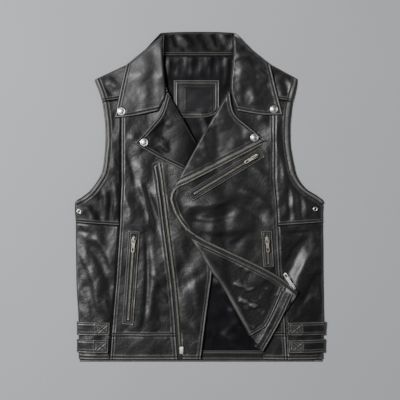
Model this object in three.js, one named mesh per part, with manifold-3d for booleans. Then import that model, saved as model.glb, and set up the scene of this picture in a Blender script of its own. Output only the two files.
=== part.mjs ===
// A sleeveless leather biker vest, laid flat on its back with the front unzipped and one corner turned over.
// Every cloth piece is a wall cut to its own outline. It is draped over the pieces that it lies on, on one
// lattice that all the cloth shares, so that the layers follow each other without touching.
import * as THREE from 'three';
import { mergeVertices } from 'three/addons/utils/BufferGeometryUtils.js';
import Module from 'manifold-3d';

const wasm = await Module();
wasm.setup();

// Cloth, in millimetres
const LEATHER = 1.8;
const LINING = 1.0;
const TAPE = 1.0;
const BELT = 2.6;
const SEAM_GAP = 0.3;
const HALF_SEAM = SEAM_GAP / 2;
const FOLD_WALL = 2.0;
const FOLD_CLEARANCE = FOLD_WALL + SEAM_GAP;
const BACK_PROUD = 2.5;
const EASE = 3.2;
const SIDE_ROUND = 14;
const OUTLINE_STEP = 13;
const FLATNESS = 0.03;

// Moves the tables' zero, which is near the lining's middle, to the middle of the laid vest
const PLACE = { x: 1.8, y: -2 };

// Levels down the vest, from the collar's fold to the hem
const COLLAR_TOP = 333.5;
const NECK_SEAM = 284.5;
const YOKE_SEAM = 196;
const UNDERARM = -7;
const SIDE_SEAM_LEVEL = -53;
const BAND_SEAM = -277;
const FRONT_HEM = -324;
const BACK_HEM = -329.5;
const FACING_TOP = BACK_HEM + 24;
const SHOULDER_LEVEL = 232;
const BACK_SHOULDER_LEVEL = 230;

// Widths and offsets of the strips and seams
const ZIP_WIDTH = 9;
const LINING_INSET = 20;
const SIDE_SEAM_TILT = 3;
const YOKE = { inner: 66, drop: 3, rise: 19, foot: 16 };
const LAPEL_FOOT = 66;
const ZIP_TOP = LAPEL_FOOT + 7;
const FRONT_TOP = LAPEL_FOOT + 8;

// Sections across the left half: the outer edge, the long seam beside it, the zip, the free edge
const LEFT_SECTIONS = [
  { y: 238, edge: -213, seam: -157, zip: -110, free: -40 },
  { y: 211, edge: -202, seam: -159, zip: -104, free: -30 },
  { y: 185, edge: -195, seam: -160, zip: -100, free: -20 },
  { y: 139, edge: -190, seam: -160, zip: -93, free: -12 },
  { y: 95, edge: -191, seam: -160, zip: -86, free: -3 },
  { y: 51, edge: -197, seam: -160, zip: -78, free: 4 },
  { y: 31, edge: -208, seam: -160, zip: -75, free: 7 },
  { y: 13, edge: -222, seam: -160.5, zip: -73, free: 9 },
  { y: 1, edge: -238, seam: -161, zip: -71, free: 11 },
  { y: -7, edge: -252, seam: -161.5, zip: -70, free: 12 },
  { y: -51, edge: -252, seam: -163, zip: -65, free: 17 },
  { y: -149, edge: -251, seam: -169, zip: -52, free: 22 },
  { y: -185, edge: -250, seam: -172, zip: -48, free: 18 },
  { y: -245, edge: -246.5, seam: -177, zip: -43, free: 10 },
  { y: -330, edge: -246, seam: -183, zip: -37, free: -1 },
];

// The same for the right half, whose free edge is the lapel's roll, then the turned corner's fold
const RIGHT_SECTIONS = [
  { y: 238, edge: 193, seam: 145, free: 66 },
  { y: 225, edge: 190, seam: 146, free: 60 },
  { y: 199, edge: 183, seam: 147, free: 46 },
  { y: 159, edge: 177, seam: 147.5, free: 22 },
  { y: 109, edge: 177, seam: 148, free: -6 },
  { y: 63, edge: 184, seam: 148, free: -30 },
  { y: 45, edge: 189, seam: 148, free: -40 },
  { y: 19, edge: 208, seam: 149, free: -56 },
  { y: -1, edge: 240, seam: 151, free: -63 },
  { y: -7, edge: 245, seam: 151.5, free: -62 },
  { y: -35, edge: 245, seam: 153, free: -52 },
  { y: -72, edge: 245, seam: 155, free: -28 },
  { y: -90, edge: 245, seam: 156, free: -15 },
  { y: -148, edge: 246, seam: 159, free: 22 },
  { y: -233, edge: 247, seam: 168, free: 75 },
  { y: -308, edge: 246, seam: 172, free: 122 },
  { y: -330, edge: 246, seam: 173, free: 126 },
];

// Corners of the small shaped pieces, named by where they sit on the garment
const SHOULDER = {
  left: { tip: [-213, 238], neck: [-92, 294.5], hidden: [-152, 266.5], slope: 0.46 },
  right: { tip: [193, 239.5], neck: [80, 301], hidden: [142, 267.5], slope: 0.54 },
};
const LEAF = {
  left: {
    fold: [-79, 325.5], shoulder: [-150, 267.5], side: [-162, 214], tip: [-173, 159.5],
    front: [-140, 162.5], gorge: [-85, 173.5], roll: [-76, 190], throat: [-70, 212], neck: [-76, 290],
  },
  right: {
    fold: [67, 325.5], shoulder: [138, 269.5], side: [151, 215.5], tip: [164, 165.5],
    front: [122, 165.5], gorge: [73, 173.5], roll: [63, 199], throat: [59, 225.5], neck: [64, 290],
  },
};
const LAPEL = {
  left: {
    throat: [-69, 210.5], gorge: [-80, 172.5], waist: [-97, 149], tip: [-134, 108],
    hem: [-82, 78.5], foot: [-34, 55], roll: [-7, 107], bow: [-36, 158], neck: [-58, 196],
  },
  right: {
    throat: [57, 214], gorge: [66, 170.5], waist: [92, 145], tip: [131, 114.5],
    hem: [64, 79.5], foot: [-22, 35], curl: [-49, 22], end: [-61, 6], roll: [-44, 40], bow: [-6, 110],
    neck: [24, 160],
  },
};
const FLAP = {
  start: [-30, -66], upper: [51, -104], middle: [114, -134], lower: [157, -158], tip: [194, -187],
  hemTip: [188, -200], hemMiddle: [158, -248], hemEnd: [124, -307], foot: [99, -276], knee: [75, -233],
  bend: [41, -172], hip: [22, -148], waist: [-12, -92],
  wallTop: [10, -130], wallEnd: [94, -267], bandTop: [182.5, -193],
};
const FLAP_BAND = 20;
const NECK_LEFT = -76;
const NECK_RIGHT = 64;
const FALL_HEM = [[130, 275], [116, 258], [60, 262], [-6, 264], [-70, 262], [-126, 258], [-141, 273]];
const LINING_SHOULDER = { left: [-150, 240], right: [140, 240], level: 190 };

// Large soft folds of the two fronts: where each ridge starts and ends, how wide and how high it stands
const FOLDS = [
  { x: -128, y: 60, toX: -88, toY: -78, width: 17, height: 2.6 },
  { x: -222, y: -70, toX: -196, toY: -222, width: 20, height: 2.4 },
  { x: -98, y: -96, toX: -112, toY: -240, width: 16, height: 2.2 },
  { x: -178, y: 60, toX: -184, toY: -30, width: 15, height: 1.8 },
  { x: 20, y: -40, toX: 112, toY: -66, width: 20, height: 2.4 },
  { x: 62, y: 20, toX: 132, toY: -40, width: 20, height: 1.8 },
  { x: 228, y: -70, toX: 182, toY: -206, width: 20, height: 2.6 },
  { x: 176, y: 50, toX: 186, toY: -24, width: 14, height: 2.0 },
  { x: -128, y: 236, toX: -116, toY: 190, width: 20, height: 1.8 },
  { x: 96, y: 262, toX: 112, toY: 196, width: 18, height: 2.2 },
  { x: -30, y: -60, toX: 6, toY: -240, width: 18, height: 1.8 },
];

// How much further some pieces rise over their own length, on top of what they lie on
const STAND_RISE = { by: 2.2, over: 30 };
const LAPEL_LEFT_RISE = { by: 1.6, fromY: 90, overY: 60, fromX: -140, overX: 40 };
const LAPEL_RIGHT_RISE = { by: 1.8, fromY: 70, overY: 60, fromX: 136, overX: 40 };
const LEAF_RISE = { by: 2.4, fromY: 175, overY: 60, fromX: 165, overX: 50 };
const FLAP_RISE = 0.5;

// The leaf is closed down to the floor along a share of its shoulder, and to the stand along its roll
const LEAF_WALL = { share: 0.72, low: 296, high: 324, width: 6, top: 325 };

// Fastenings and trims
const SNAP = { radius: 8.2, height: 2.8, rim: 1.0 };
const SNAPS = [
  { name: 'snap_collar_left', on: 'leaf_left', x: -159, y: 172.5 },
  { name: 'snap_collar_right', on: 'leaf_right', x: 146, y: 177 },
  { name: 'snap_lapel_left', on: 'lapel_left', x: -113.5, y: 110.5 },
  { name: 'snap_lapel_right', on: 'lapel_right', x: 107, y: 120 },
];
const EYELET = { outer: 4.6, hole: 2.2, height: 1.2 };
const EYELETS = [
  { name: 'eyelet_left', on: 'side_upper_left', x: -244, y: -27 },
  { name: 'eyelet_right', on: 'side_upper_right', x: 229, y: -22.5 },
];
const BELT_WRAP = { overhang: 3.5, overlap: 4, tilt: 0.5 };
const BELTS = [
  { name: 'belt_upper', y: -262, width: 27 },
  { name: 'belt_lower', y: -297, width: 27 },
];
const POCKETS = [
  { name: 'pocket_left', on: 'front_left', top: [-134, -72], end: [-146, -248], width: 24, window: 9.5 },
  { name: 'pocket_right', on: 'front_right', top: [131.5, -72], end: [135, -133], width: 22, window: 9.5 },
  { name: 'pocket_chest', on: 'front_right', top: [118, 88], end: [-17, 6], width: 22, window: 9.5 },
];
const POCKET_END = 6;
const PIN_BOX = { x: -39, y: -305, length: 14, width: 7, height: 3 };
const NECK_PATCH = { left: -55, right: 37, top: 236, bottom: 160, corner: 20 };
const NECK_LABEL = { left: -36, right: 27, top: 226, bottom: 171 };

// Slider and pull tab: the tab's cross bar turns inside the slider's crown
const SLIDER = { length: 12, width: 7.6, height: 2.4, nose: 2.2 };
const CROWN = { half: 4.2, hole: 2.9, wall: 1.3, width: 2.0 };
const BAR = { half: 0.6, above: 1.6 };
const TAB = { width: 7.6, thickness: 1.3, arm: 1.6, window: 6.6, eye: 3.4, eyeLength: 6 };
const PULLS = [
  { name: 'main', on: 'zip_right', at: [183.5, -178.5], toward: [165.5, -149.5], length: 33 },
  { name: 'pocket_left', on: 'pocket_left_zip', at: [-134.6, -84], toward: [-140, -160], length: 26 },
  { name: 'pocket_right', on: 'pocket_right_zip', at: [132.2, -84], toward: [134.8, -130], length: 26 },
  { name: 'pocket_chest', on: 'pocket_chest_zip', at: [108.6, 82.3], toward: [0, 16.3], length: 25 },
];

// Colours and finishes, as the garment shows them
const FINISH = {
  leather: { color: 0x1b1b1d, roughness: 0.42, metalness: 0 },
  lining: { color: 0x17181d, roughness: 0.5, metalness: 0 },
  tape: { color: 0x111111, roughness: 0.85, metalness: 0 },
  metal: { color: 0xc9c6bd, roughness: 0.3, metalness: 1 },
  brass: { color: 0x6f6653, roughness: 0.38, metalness: 1 },
};

const vest = new THREE.Group();
vest.position.set(PLACE.x, PLACE.y, 0);

function addMesh(name, geometry, finish) {
  geometry.computeVertexNormals();
  const mesh = new THREE.Mesh(geometry, new THREE.MeshStandardMaterial(FINISH[finish]));
  mesh.name = name;
  vest.add(mesh);
  return mesh;
}

// Solids for cutting and joining

function toSolid(geometry) {
  const bare = geometry.clone();
  bare.deleteAttribute('normal');
  bare.deleteAttribute('uv');
  const merged = mergeVertices(bare, 1e-4);
  return new wasm.Manifold(new wasm.Mesh({
    numProp: 3,
    vertProperties: new Float32Array(merged.attributes.position.array),
    triVerts: new Uint32Array(merged.index.array),
  }));
}

function toGeometry(solid) {
  const { vertProperties, triVerts } = solid.asOriginal().simplify(FLATNESS).getMesh();
  const geometry = new THREE.BufferGeometry();
  geometry.setAttribute('position', new THREE.BufferAttribute(new Float32Array(vertProperties), 3));
  geometry.setIndex(new THREE.BufferAttribute(new Uint32Array(triVerts), 1));
  return geometry;
}

// Curves through the sections

function through(rows, column) {
  const slope = rows.map((row, i) => {
    const before = rows[Math.max(i - 1, 0)];
    const after = rows[Math.min(i + 1, rows.length - 1)];
    return (after[column] - before[column]) / (after.y - before.y);
  });
  return (y) => {
    let i = rows.findIndex((row) => row.y < y) - 1;
    if (i < 0) i = y >= rows[0].y ? 0 : rows.length - 2;
    const [a, b] = [rows[i], rows[i + 1]];
    const span = b.y - a.y;
    const t = (y - a.y) / span;
    const [t2, t3] = [t * t, t * t * t];
    return a[column] * (2 * t3 - 3 * t2 + 1) + slope[i] * span * (t3 - 2 * t2 + t)
      + b[column] * (3 * t2 - 2 * t3) + slope[i + 1] * span * (t3 - t2);
  };
}

const left = {
  edge: through(LEFT_SECTIONS, 'edge'),
  seam: through(LEFT_SECTIONS, 'seam'),
  zip: through(LEFT_SECTIONS, 'zip'),
  free: through(LEFT_SECTIONS, 'free'),
};
const right = {
  edge: through(RIGHT_SECTIONS, 'edge'),
  seam: through(RIGHT_SECTIONS, 'seam'),
  free: through(RIGHT_SECTIONS, 'free'),
};
const shifted = (curve, by) => (y) => curve(y) + by;

// Points down a curve, at even levels from one to the other, both included
function down(curve, from, to) {
  const steps = Math.max(1, Math.round(Math.abs(from - to) / OUTLINE_STEP));
  return Array.from({ length: steps + 1 }, (_, i) => {
    const y = from + (to - from) * i / steps;
    return [curve(y), y];
  });
}

// The outline between two curves, each with its own top and bottom level
function between(a, b, aTop, bTop, aBottom, bBottom) {
  return [...down(a, aTop, aBottom), ...down(b, bBottom, bTop)];
}

// The strip of the given width on the left of a line, seen along it
function strip(line, width, offset = 0) {
  const normals = line.map((_, i) => {
    const [x0, y0] = line[Math.max(i - 1, 0)];
    const [x1, y1] = line[Math.min(i + 1, line.length - 1)];
    const length = Math.hypot(x1 - x0, y1 - y0);
    return [(y0 - y1) / length, (x1 - x0) / length];
  });
  const moved = (by) => line.map(([x, y], i) => [x + normals[i][0] * by, y + normals[i][1] * by]);
  return [...moved(offset), ...moved(offset + width).reverse()];
}

function inside(outline, x, y) {
  let odd = false;
  outline.forEach(([x1, y1], i) => {
    const [x2, y2] = outline[(i + 1) % outline.length];
    if (y1 > y !== y2 > y && x < x1 + (x2 - x1) * (y - y1) / (y2 - y1)) odd = !odd;
  });
  return odd;
}

const smooth = (t) => {
  const s = Math.min(Math.max(t, 0), 1);
  return s * s * (3 - 2 * s);
};

// The lattice that all the cloth shares: closer lines where the sides round down
const CELL = 20;
const CLOSE_LINES = [12, 24];
const LATTICE = { left: -256, right: 252, top: 345, bottom: -340 };

function lines(from, to, closeEnds) {
  const inner = closeEnds ? CLOSE_LINES : [];
  const start = from + (closeEnds ? inner[inner.length - 1] : 0);
  const end = to - (closeEnds ? inner[inner.length - 1] : 0);
  const count = Math.round((end - start) / CELL);
  const even = Array.from({ length: count + 1 }, (_, i) => start + (end - start) * i / count);
  const low = closeEnds ? [from, ...inner.slice(0, -1).map((by) => from + by)] : [];
  const high = closeEnds ? [...inner.slice(0, -1).map((by) => to - by).reverse(), to] : [];
  return [...low, ...even, ...high];
}

const columns = lines(LATTICE.left, LATTICE.right, true);
const levels = lines(LATTICE.bottom, LATTICE.top, false);
const at = (i, j) => j * columns.length + i;

// Whether an outline reaches any of the cells around a lattice point
function reach(outline) {
  const samples = 6;
  return levels.flatMap((_, j) => columns.map((__, i) => {
    const [x0, x1] = [columns[Math.max(i - 1, 0)], columns[Math.min(i + 1, columns.length - 1)]];
    const [y0, y1] = [levels[Math.max(j - 1, 0)], levels[Math.min(j + 1, levels.length - 1)]];
    if (outline.some(([x, y], k) => {
      const [nx, ny] = outline[(k + 1) % outline.length];
      return [0, 0.25, 0.5, 0.75].some((t) => {
        const [px, py] = [x + (nx - x) * t, y + (ny - y) * t];
        return px >= x0 && px <= x1 && py >= y0 && py <= y1;
      });
    })) return true;
    for (let a = 0; a <= samples; a += 1) {
      for (let b = 0; b <= samples; b += 1) {
        if (inside(outline, x0 + (x1 - x0) * a / samples, y0 + (y1 - y0) * b / samples)) return true;
      }
    }
    return false;
  }));
}

// A closed slab between two sets of heights over the whole lattice
function slab(bottom, top) {
  const size = columns.length * levels.length;
  const position = new Float32Array(size * 6);
  levels.forEach((y, j) => columns.forEach((x, i) => {
    const k = at(i, j);
    position.set([x, y, top[k]], k * 3);
    position.set([x, y, bottom[k]], (size + k) * 3);
  }));
  const index = [];
  const quad = (a, b, c, d) => index.push(a, b, c, a, c, d);
  const [m, n] = [columns.length - 1, levels.length - 1];
  for (let j = 0; j < n; j += 1) {
    for (let i = 0; i < m; i += 1) {
      const corners = [at(i, j), at(i + 1, j), at(i + 1, j + 1), at(i, j + 1)];
      quad(...corners);
      index.push(size + corners[0], size + corners[2], size + corners[1]);
      index.push(size + corners[0], size + corners[3], size + corners[2]);
    }
  }
  for (let i = 0; i < m; i += 1) {
    quad(size + at(i, 0), size + at(i + 1, 0), at(i + 1, 0), at(i, 0));
    quad(at(i, n), at(i + 1, n), size + at(i + 1, n), size + at(i, n));
  }
  for (let j = 0; j < n; j += 1) {
    quad(at(0, j), at(0, j + 1), size + at(0, j + 1), size + at(0, j));
    quad(size + at(m, j), size + at(m, j + 1), at(m, j + 1), at(m, j));
  }
  const geometry = new THREE.BufferGeometry();
  geometry.setAttribute('position', new THREE.BufferAttribute(position, 3));
  geometry.setIndex(index);
  return toSolid(geometry);
}

const TALL = { bottom: -10, height: 80 };

function prism(outline, holes = []) {
  const toVector = ([x, y]) => new THREE.Vector2(x, y);
  const shape = new THREE.Shape(outline.map(toVector));
  shape.holes = holes.map((hole) => new THREE.Path(hole.map(toVector)));
  const geometry = new THREE.ExtrudeGeometry(shape, { depth: TALL.height, bevelEnabled: false });
  return toSolid(geometry.translate(0, 0, TALL.bottom));
}

// Draped pieces, by name: their heights over the lattice and the lattice points that they reach

const draped = {};

function drape({ name, outline, holes, thickness = LEATHER, on = [], lift = () => 0, gap = SEAM_GAP }) {
  const near = reach(outline);
  const bottom = levels.flatMap((y, j) => columns.map((x, i) => {
    const k = at(i, j);
    const under = on.map((other) => draped[other]).filter((piece) => piece.near[k]);
    const support = Math.max(0, ...under.map((piece) => piece.top[k] + gap));
    return support + lift(x, y);
  }));
  const top = bottom.map((z) => z + thickness);
  const solid = slab(bottom, top).intersect(prism(outline, holes));
  draped[name] = { outline, near, bottom, top, solid };
  return draped[name];
}

// A standing wall where the cloth turns over an edge, between the heights given
function foldWall(line, width, bottom, top) {
  return slab(bottom, top).intersect(prism(strip(line, width)));
}

const floorHeights = columns.length * levels.length;
const FLOOR = new Array(floorHeights).fill(0);

// The height of a piece's top face at a place
function topAt(piece, x, y) {
  const cell = (list, value) => Math.min(Math.max(list.findIndex((v) => v > value) - 1, 0), list.length - 2);
  const [i, j] = [cell(columns, x), cell(levels, y)];
  const u = (x - columns[i]) / (columns[i + 1] - columns[i]);
  const v = (y - levels[j]) / (levels[j + 1] - levels[j]);
  const [a, b, c, d] = [at(i, j), at(i + 1, j), at(i + 1, j + 1), at(i, j + 1)].map((k) => piece.top[k]);
  return u > v ? a + (b - a) * u + (c - b) * v : a + (c - d) * u + (d - a) * v;
}

// The highest top of the named pieces under a round foot
function seatHeight(names, x, y, radius) {
  const angles = Array.from({ length: 16 }, (_, k) => k * Math.PI / 8);
  const places = [[x, y], ...[0.5, 1].flatMap((share) => angles.map((angle) => [
    x + Math.cos(angle) * radius * share, y + Math.sin(angle) * radius * share]))];
  return Math.max(...names.flatMap((name) => places.filter(([px, py]) => inside(draped[name].outline, px, py))
    .map(([px, py]) => topAt(draped[name], px, py))));
}

// The air under the fronts: none at the closed sides, with the large folds standing on it
function ease(x, y) {
  const fromSide = y < UNDERARM + CELL ? Math.min(x - left.edge(y), right.edge(y) - x) : SIDE_ROUND * 2;
  const fromShoulder = Math.min(
    (SHOULDER.left.tip[1] - y) + (x - SHOULDER.left.tip[0]) * SHOULDER.left.slope,
    (SHOULDER.right.tip[1] - y) + (SHOULDER.right.tip[0] - x) * SHOULDER.right.slope,
  );
  const round = (distance) => smooth((distance - FOLD_WALL) / (SIDE_ROUND * 2));
  const ridges = FOLDS.map((fold) => {
    const [dx, dy] = [fold.toX - fold.x, fold.toY - fold.y];
    const share = ((x - fold.x) * dx + (y - fold.y) * dy) / (dx * dx + dy * dy);
    const t = Math.min(Math.max(share, 0), 1);
    const distance = Math.hypot(x - fold.x - dx * t, y - fold.y - dy * t);
    return fold.height * Math.exp(-((distance / fold.width) ** 2));
  });
  return (EASE + Math.max(...ridges)) * round(fromSide) * round(fromShoulder);
}

// Collar: the stand, the fall that lies behind the neck, and the two leaves that turn over to the front

function roundedTop(fromX, toX, y, rise) {
  return Array.from({ length: 7 }, (_, i) => {
    const t = i / 6;
    return [fromX + (toX - fromX) * t, y - rise * (2 * t - 1) ** 2];
  });
}

const collarTop = roundedTop(NECK_LEFT, NECK_RIGHT, COLLAR_TOP, 2);

drape({
  name: 'collar_fall',
  outline: [...collarTop, LEAF.right.fold, ...FALL_HEM, LEAF.left.fold],
});
const stand = drape({
  name: 'collar_stand',
  outline: [
    [NECK_LEFT, NECK_SEAM + HALF_SEAM],
    [NECK_RIGHT, NECK_SEAM + HALF_SEAM],
    ...collarTop.slice().reverse(),
  ],
  on: ['collar_fall'],
  lift: (x, y) => STAND_RISE.by * smooth((COLLAR_TOP - y) / STAND_RISE.over),
});

// Back: a flat panel on the floor, its lining, the hem's facing and the neck's patch

const BACK_INSET_FROM = UNDERARM + 11;
const backEdge = (edge, side) => (y) => edge(y)
  + side * (y < BACK_INSET_FROM - 5 ? FOLD_CLEARANCE : -BACK_PROUD);
const [leftBack, rightBack] = [backEdge(left.edge, 1), backEdge(right.edge, -1)];
const belowShoulder = ([x, y], side) => [x - side * 1.2, y - FOLD_CLEARANCE - 0.4];
drape({
  name: 'back_panel',
  outline: [
    belowShoulder(SHOULDER.left.neck, -1),
    belowShoulder(SHOULDER.left.tip, -1),
    ...down(leftBack, BACK_SHOULDER_LEVEL, BACK_INSET_FROM),
    ...down(leftBack, BACK_INSET_FROM - 8, BACK_HEM),
    ...down(rightBack, BACK_HEM, BACK_INSET_FROM - 8),
    ...down(rightBack, BACK_INSET_FROM, BACK_SHOULDER_LEVEL),
    belowShoulder(SHOULDER.right.tip, 1),
    belowShoulder(SHOULDER.right.neck, 1),
    [NECK_RIGHT, NECK_SEAM - HALF_SEAM],
    [NECK_LEFT, NECK_SEAM - HALF_SEAM],
  ],
  on: ['collar_fall'],
});

const liningEdge = (edge, side) => shifted(edge, side * LINING_INSET);
drape({
  name: 'back_lining',
  outline: [
    [NECK_LEFT + 1, NECK_SEAM - 1],
    LINING_SHOULDER.left,
    ...down(liningEdge(left.edge, 1), LINING_SHOULDER.level, FACING_TOP + HALF_SEAM),
    ...down(liningEdge(right.edge, -1), FACING_TOP + HALF_SEAM, LINING_SHOULDER.level),
    LINING_SHOULDER.right,
    [NECK_RIGHT - 1, NECK_SEAM - 1],
  ],
  thickness: LINING,
  on: ['back_panel'],
});
drape({
  name: 'back_hem_facing',
  outline: between(liningEdge(left.edge, 1), liningEdge(right.edge, -1), FACING_TOP - HALF_SEAM,
    FACING_TOP - HALF_SEAM, BACK_HEM + 1, BACK_HEM + 1),
  on: ['back_panel'],
});

function roundedRectangle({ left: x0, right: x1, top, bottom, corner = 0.01 }) {
  const arc = (cx, cy, from) => Array.from({ length: 6 }, (_, k) => {
    const angle = from + k * Math.PI / 10;
    return [cx + Math.cos(angle) * corner, cy + Math.sin(angle) * corner];
  });
  return [[x0, top], ...arc(x0 + corner, bottom + corner, Math.PI),
    ...arc(x1 - corner, bottom + corner, 1.5 * Math.PI), [x1, top]];
}

drape({ name: 'neck_patch', outline: roundedRectangle(NECK_PATCH), on: ['back_lining'] });
drape({
  name: 'neck_label',
  outline: roundedRectangle({ ...NECK_LABEL, corner: 1 }),
  thickness: LINING,
  on: ['neck_patch'],
});

// Fronts, side by side: each half from its outer edge to its free edge

const ON_BACK = ['back_panel', 'back_lining', 'back_hem_facing', 'neck_patch', 'neck_label'];

function yoke(name, curves, corner, side) {
  const seamAtEdge = YOKE_SEAM - YOKE.drop;
  const line = [corner.tip, corner.hidden];
  drape({
    name,
    outline: [
      corner.neck,
      corner.tip,
      ...down(curves.edge, SHOULDER_LEVEL, seamAtEdge),
      [side * YOKE.inner, YOKE_SEAM + YOKE.foot],
    ],
    on: ON_BACK,
    lift: ease,
  });
  const piece = draped[name];
  const heading = side < 0 ? line.slice().reverse() : line;
  piece.solid = piece.solid.add(foldWall(heading, FOLD_WALL, FLOOR, piece.top));
}

// The yoke's seam falls a little towards the arm on both sides
function belowYoke(x, side) {
  const edgeX = side < 0 ? left.edge(YOKE_SEAM) : right.edge(YOKE_SEAM);
  const share = (x - edgeX) / (side * YOKE.inner - edgeX);
  return YOKE_SEAM - YOKE.drop + YOKE.rise * share - SEAM_GAP;
}

function sidePanels(suffix, curves, side) {
  const outer = curves.edge;
  const seam = shifted(curves.seam, side * HALF_SEAM);
  const [seamTop, edgeTop] = [belowYoke(curves.seam(YOKE_SEAM), side), YOKE_SEAM - YOKE.drop - SEAM_GAP];
  const [upper, lower] = [`side_upper_${suffix}`, `side_lower_${suffix}`];
  const aboveSeam = SIDE_SEAM_LEVEL + HALF_SEAM;
  const belowSeam = SIDE_SEAM_LEVEL - HALF_SEAM;
  drape({
    name: upper,
    outline: between(outer, seam, edgeTop, seamTop, aboveSeam + SIDE_SEAM_TILT, aboveSeam - SIDE_SEAM_TILT),
    on: ON_BACK,
    lift: ease,
  });
  drape({
    name: lower,
    outline: between(outer, seam, belowSeam + SIDE_SEAM_TILT, belowSeam - SIDE_SEAM_TILT, FRONT_HEM,
      FRONT_HEM),
    on: ON_BACK,
    lift: ease,
  });
  const wall = (piece, from, to) => {
    const line = down(outer, from, to);
    const heading = side < 0 ? line : line.reverse();
    piece.solid = piece.solid.add(foldWall(heading, FOLD_WALL, FLOOR, piece.top));
  };
  wall(draped[upper], UNDERARM - 6, aboveSeam + SIDE_SEAM_TILT);
  wall(draped[lower], belowSeam + SIDE_SEAM_TILT, FRONT_HEM);
}

yoke('yoke_left', left, SHOULDER.left, -1);
yoke('yoke_right', right, SHOULDER.right, 1);
sidePanels('left', left, -1);
sidePanels('right', right, 1);

const zipOuter = shifted(left.zip, -ZIP_WIDTH - HALF_SEAM);
const leftRoll = [LAPEL.left.roll, LAPEL.left.bow, LAPEL.left.neck];
drape({
  name: 'front_left',
  outline: [
    ...down(shifted(left.seam, HALF_SEAM), belowYoke(left.seam(YOKE_SEAM), -1), BAND_SEAM + HALF_SEAM),
    ...down(zipOuter, BAND_SEAM + HALF_SEAM, FRONT_TOP),
    [left.zip(LAPEL_FOOT) - ZIP_WIDTH - HALF_SEAM, FRONT_TOP + HALF_SEAM],
    [-14, FRONT_TOP + HALF_SEAM],
    ...leftRoll,
    [-YOKE.inner - HALF_SEAM, YOKE_SEAM + YOKE.foot - SEAM_GAP],
  ],
  on: ON_BACK,
  lift: ease,
});
drape({
  name: 'hem_band_left',
  outline: between(shifted(left.seam, HALF_SEAM), zipOuter, BAND_SEAM - HALF_SEAM, BAND_SEAM - HALF_SEAM,
    FRONT_HEM, FRONT_HEM),
  on: ON_BACK,
  lift: ease,
});
drape({
  name: 'zip_left',
  outline: between(shifted(left.zip, -ZIP_WIDTH + HALF_SEAM), shifted(left.zip, -HALF_SEAM), ZIP_TOP, ZIP_TOP,
    FRONT_HEM + 2, FRONT_HEM + 2),
  thickness: TAPE,
  on: ON_BACK,
  lift: ease,
});
drape({
  name: 'underlap',
  outline: between(shifted(left.zip, HALF_SEAM), left.free, ZIP_TOP, ZIP_TOP, FRONT_HEM + 1, FRONT_HEM + 1),
  on: ON_BACK,
  lift: ease,
});
const { left: lapelLeft, right: lapelRight } = LAPEL;
drape({
  name: 'lapel_left',
  outline: [lapelLeft.throat, lapelLeft.gorge, lapelLeft.waist, lapelLeft.tip, lapelLeft.hem, lapelLeft.foot,
    lapelLeft.roll, lapelLeft.bow, lapelLeft.neck],
  on: ['front_left', 'underlap', 'zip_left', 'yoke_left'],
  lift: (x, y) => LAPEL_LEFT_RISE.by * smooth((y - LAPEL_LEFT_RISE.fromY) / LAPEL_LEFT_RISE.overY)
    * smooth((x - LAPEL_LEFT_RISE.fromX) / LAPEL_LEFT_RISE.overX),
});

const ON_LEFT_FRONT = [...ON_BACK, 'front_left', 'zip_left', 'underlap', 'lapel_left'];
drape({
  name: 'front_right',
  outline: [
    ...down(right.free, YOKE_SEAM + 14, BAND_SEAM + HALF_SEAM),
    ...down(shifted(right.seam, -HALF_SEAM), BAND_SEAM + HALF_SEAM, belowYoke(right.seam(YOKE_SEAM), 1)),
  ],
  on: ON_LEFT_FRONT,
  lift: ease,
});
drape({
  name: 'hem_band_right',
  outline: between(right.free, shifted(right.seam, -HALF_SEAM), BAND_SEAM - HALF_SEAM,
    BAND_SEAM - HALF_SEAM, FRONT_HEM, FRONT_HEM),
  on: ON_BACK,
  lift: ease,
});
drape({
  name: 'lapel_right',
  outline: [lapelRight.throat, lapelRight.neck, lapelRight.bow, lapelRight.roll, lapelRight.end,
    lapelRight.curl, lapelRight.foot, lapelRight.hem, lapelRight.tip, lapelRight.waist, lapelRight.gorge],
  on: ['front_right', 'yoke_right', 'lapel_left'],
  lift: (x, y) => LAPEL_RIGHT_RISE.by * smooth((y - LAPEL_RIGHT_RISE.fromY) / LAPEL_RIGHT_RISE.overY)
    * smooth((LAPEL_RIGHT_RISE.fromX - x) / LAPEL_RIGHT_RISE.overX),
});

// The turned corner: the front's own leather folded back on itself, with its facing and the zip on top

const flapEdge = [FLAP.start, FLAP.upper, FLAP.middle, FLAP.lower, FLAP.tip];
const flapHem = [FLAP.tip, FLAP.hemTip, FLAP.hemMiddle, FLAP.hemEnd];
const flapFold = [FLAP.foot, FLAP.knee, FLAP.bend, FLAP.hip, FLAP.waist];
const ON_RIGHT_FRONT = ['front_right', 'side_lower_right', 'side_upper_right', 'hem_band_right'];
const flap = drape({
  name: 'flap_outer',
  outline: [...flapEdge, ...flapHem.slice(1), ...flapFold],
  on: ON_RIGHT_FRONT,
  lift: () => FLAP_RISE,
});
const foldLine = [FLAP.wallTop, FLAP.hip, FLAP.bend, FLAP.knee, FLAP.wallEnd];
const front = draped.front_right;
front.solid = front.solid.add(foldWall(foldLine, FOLD_WALL * 1.5, front.bottom, flap.top)).add(flap.solid);

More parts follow.
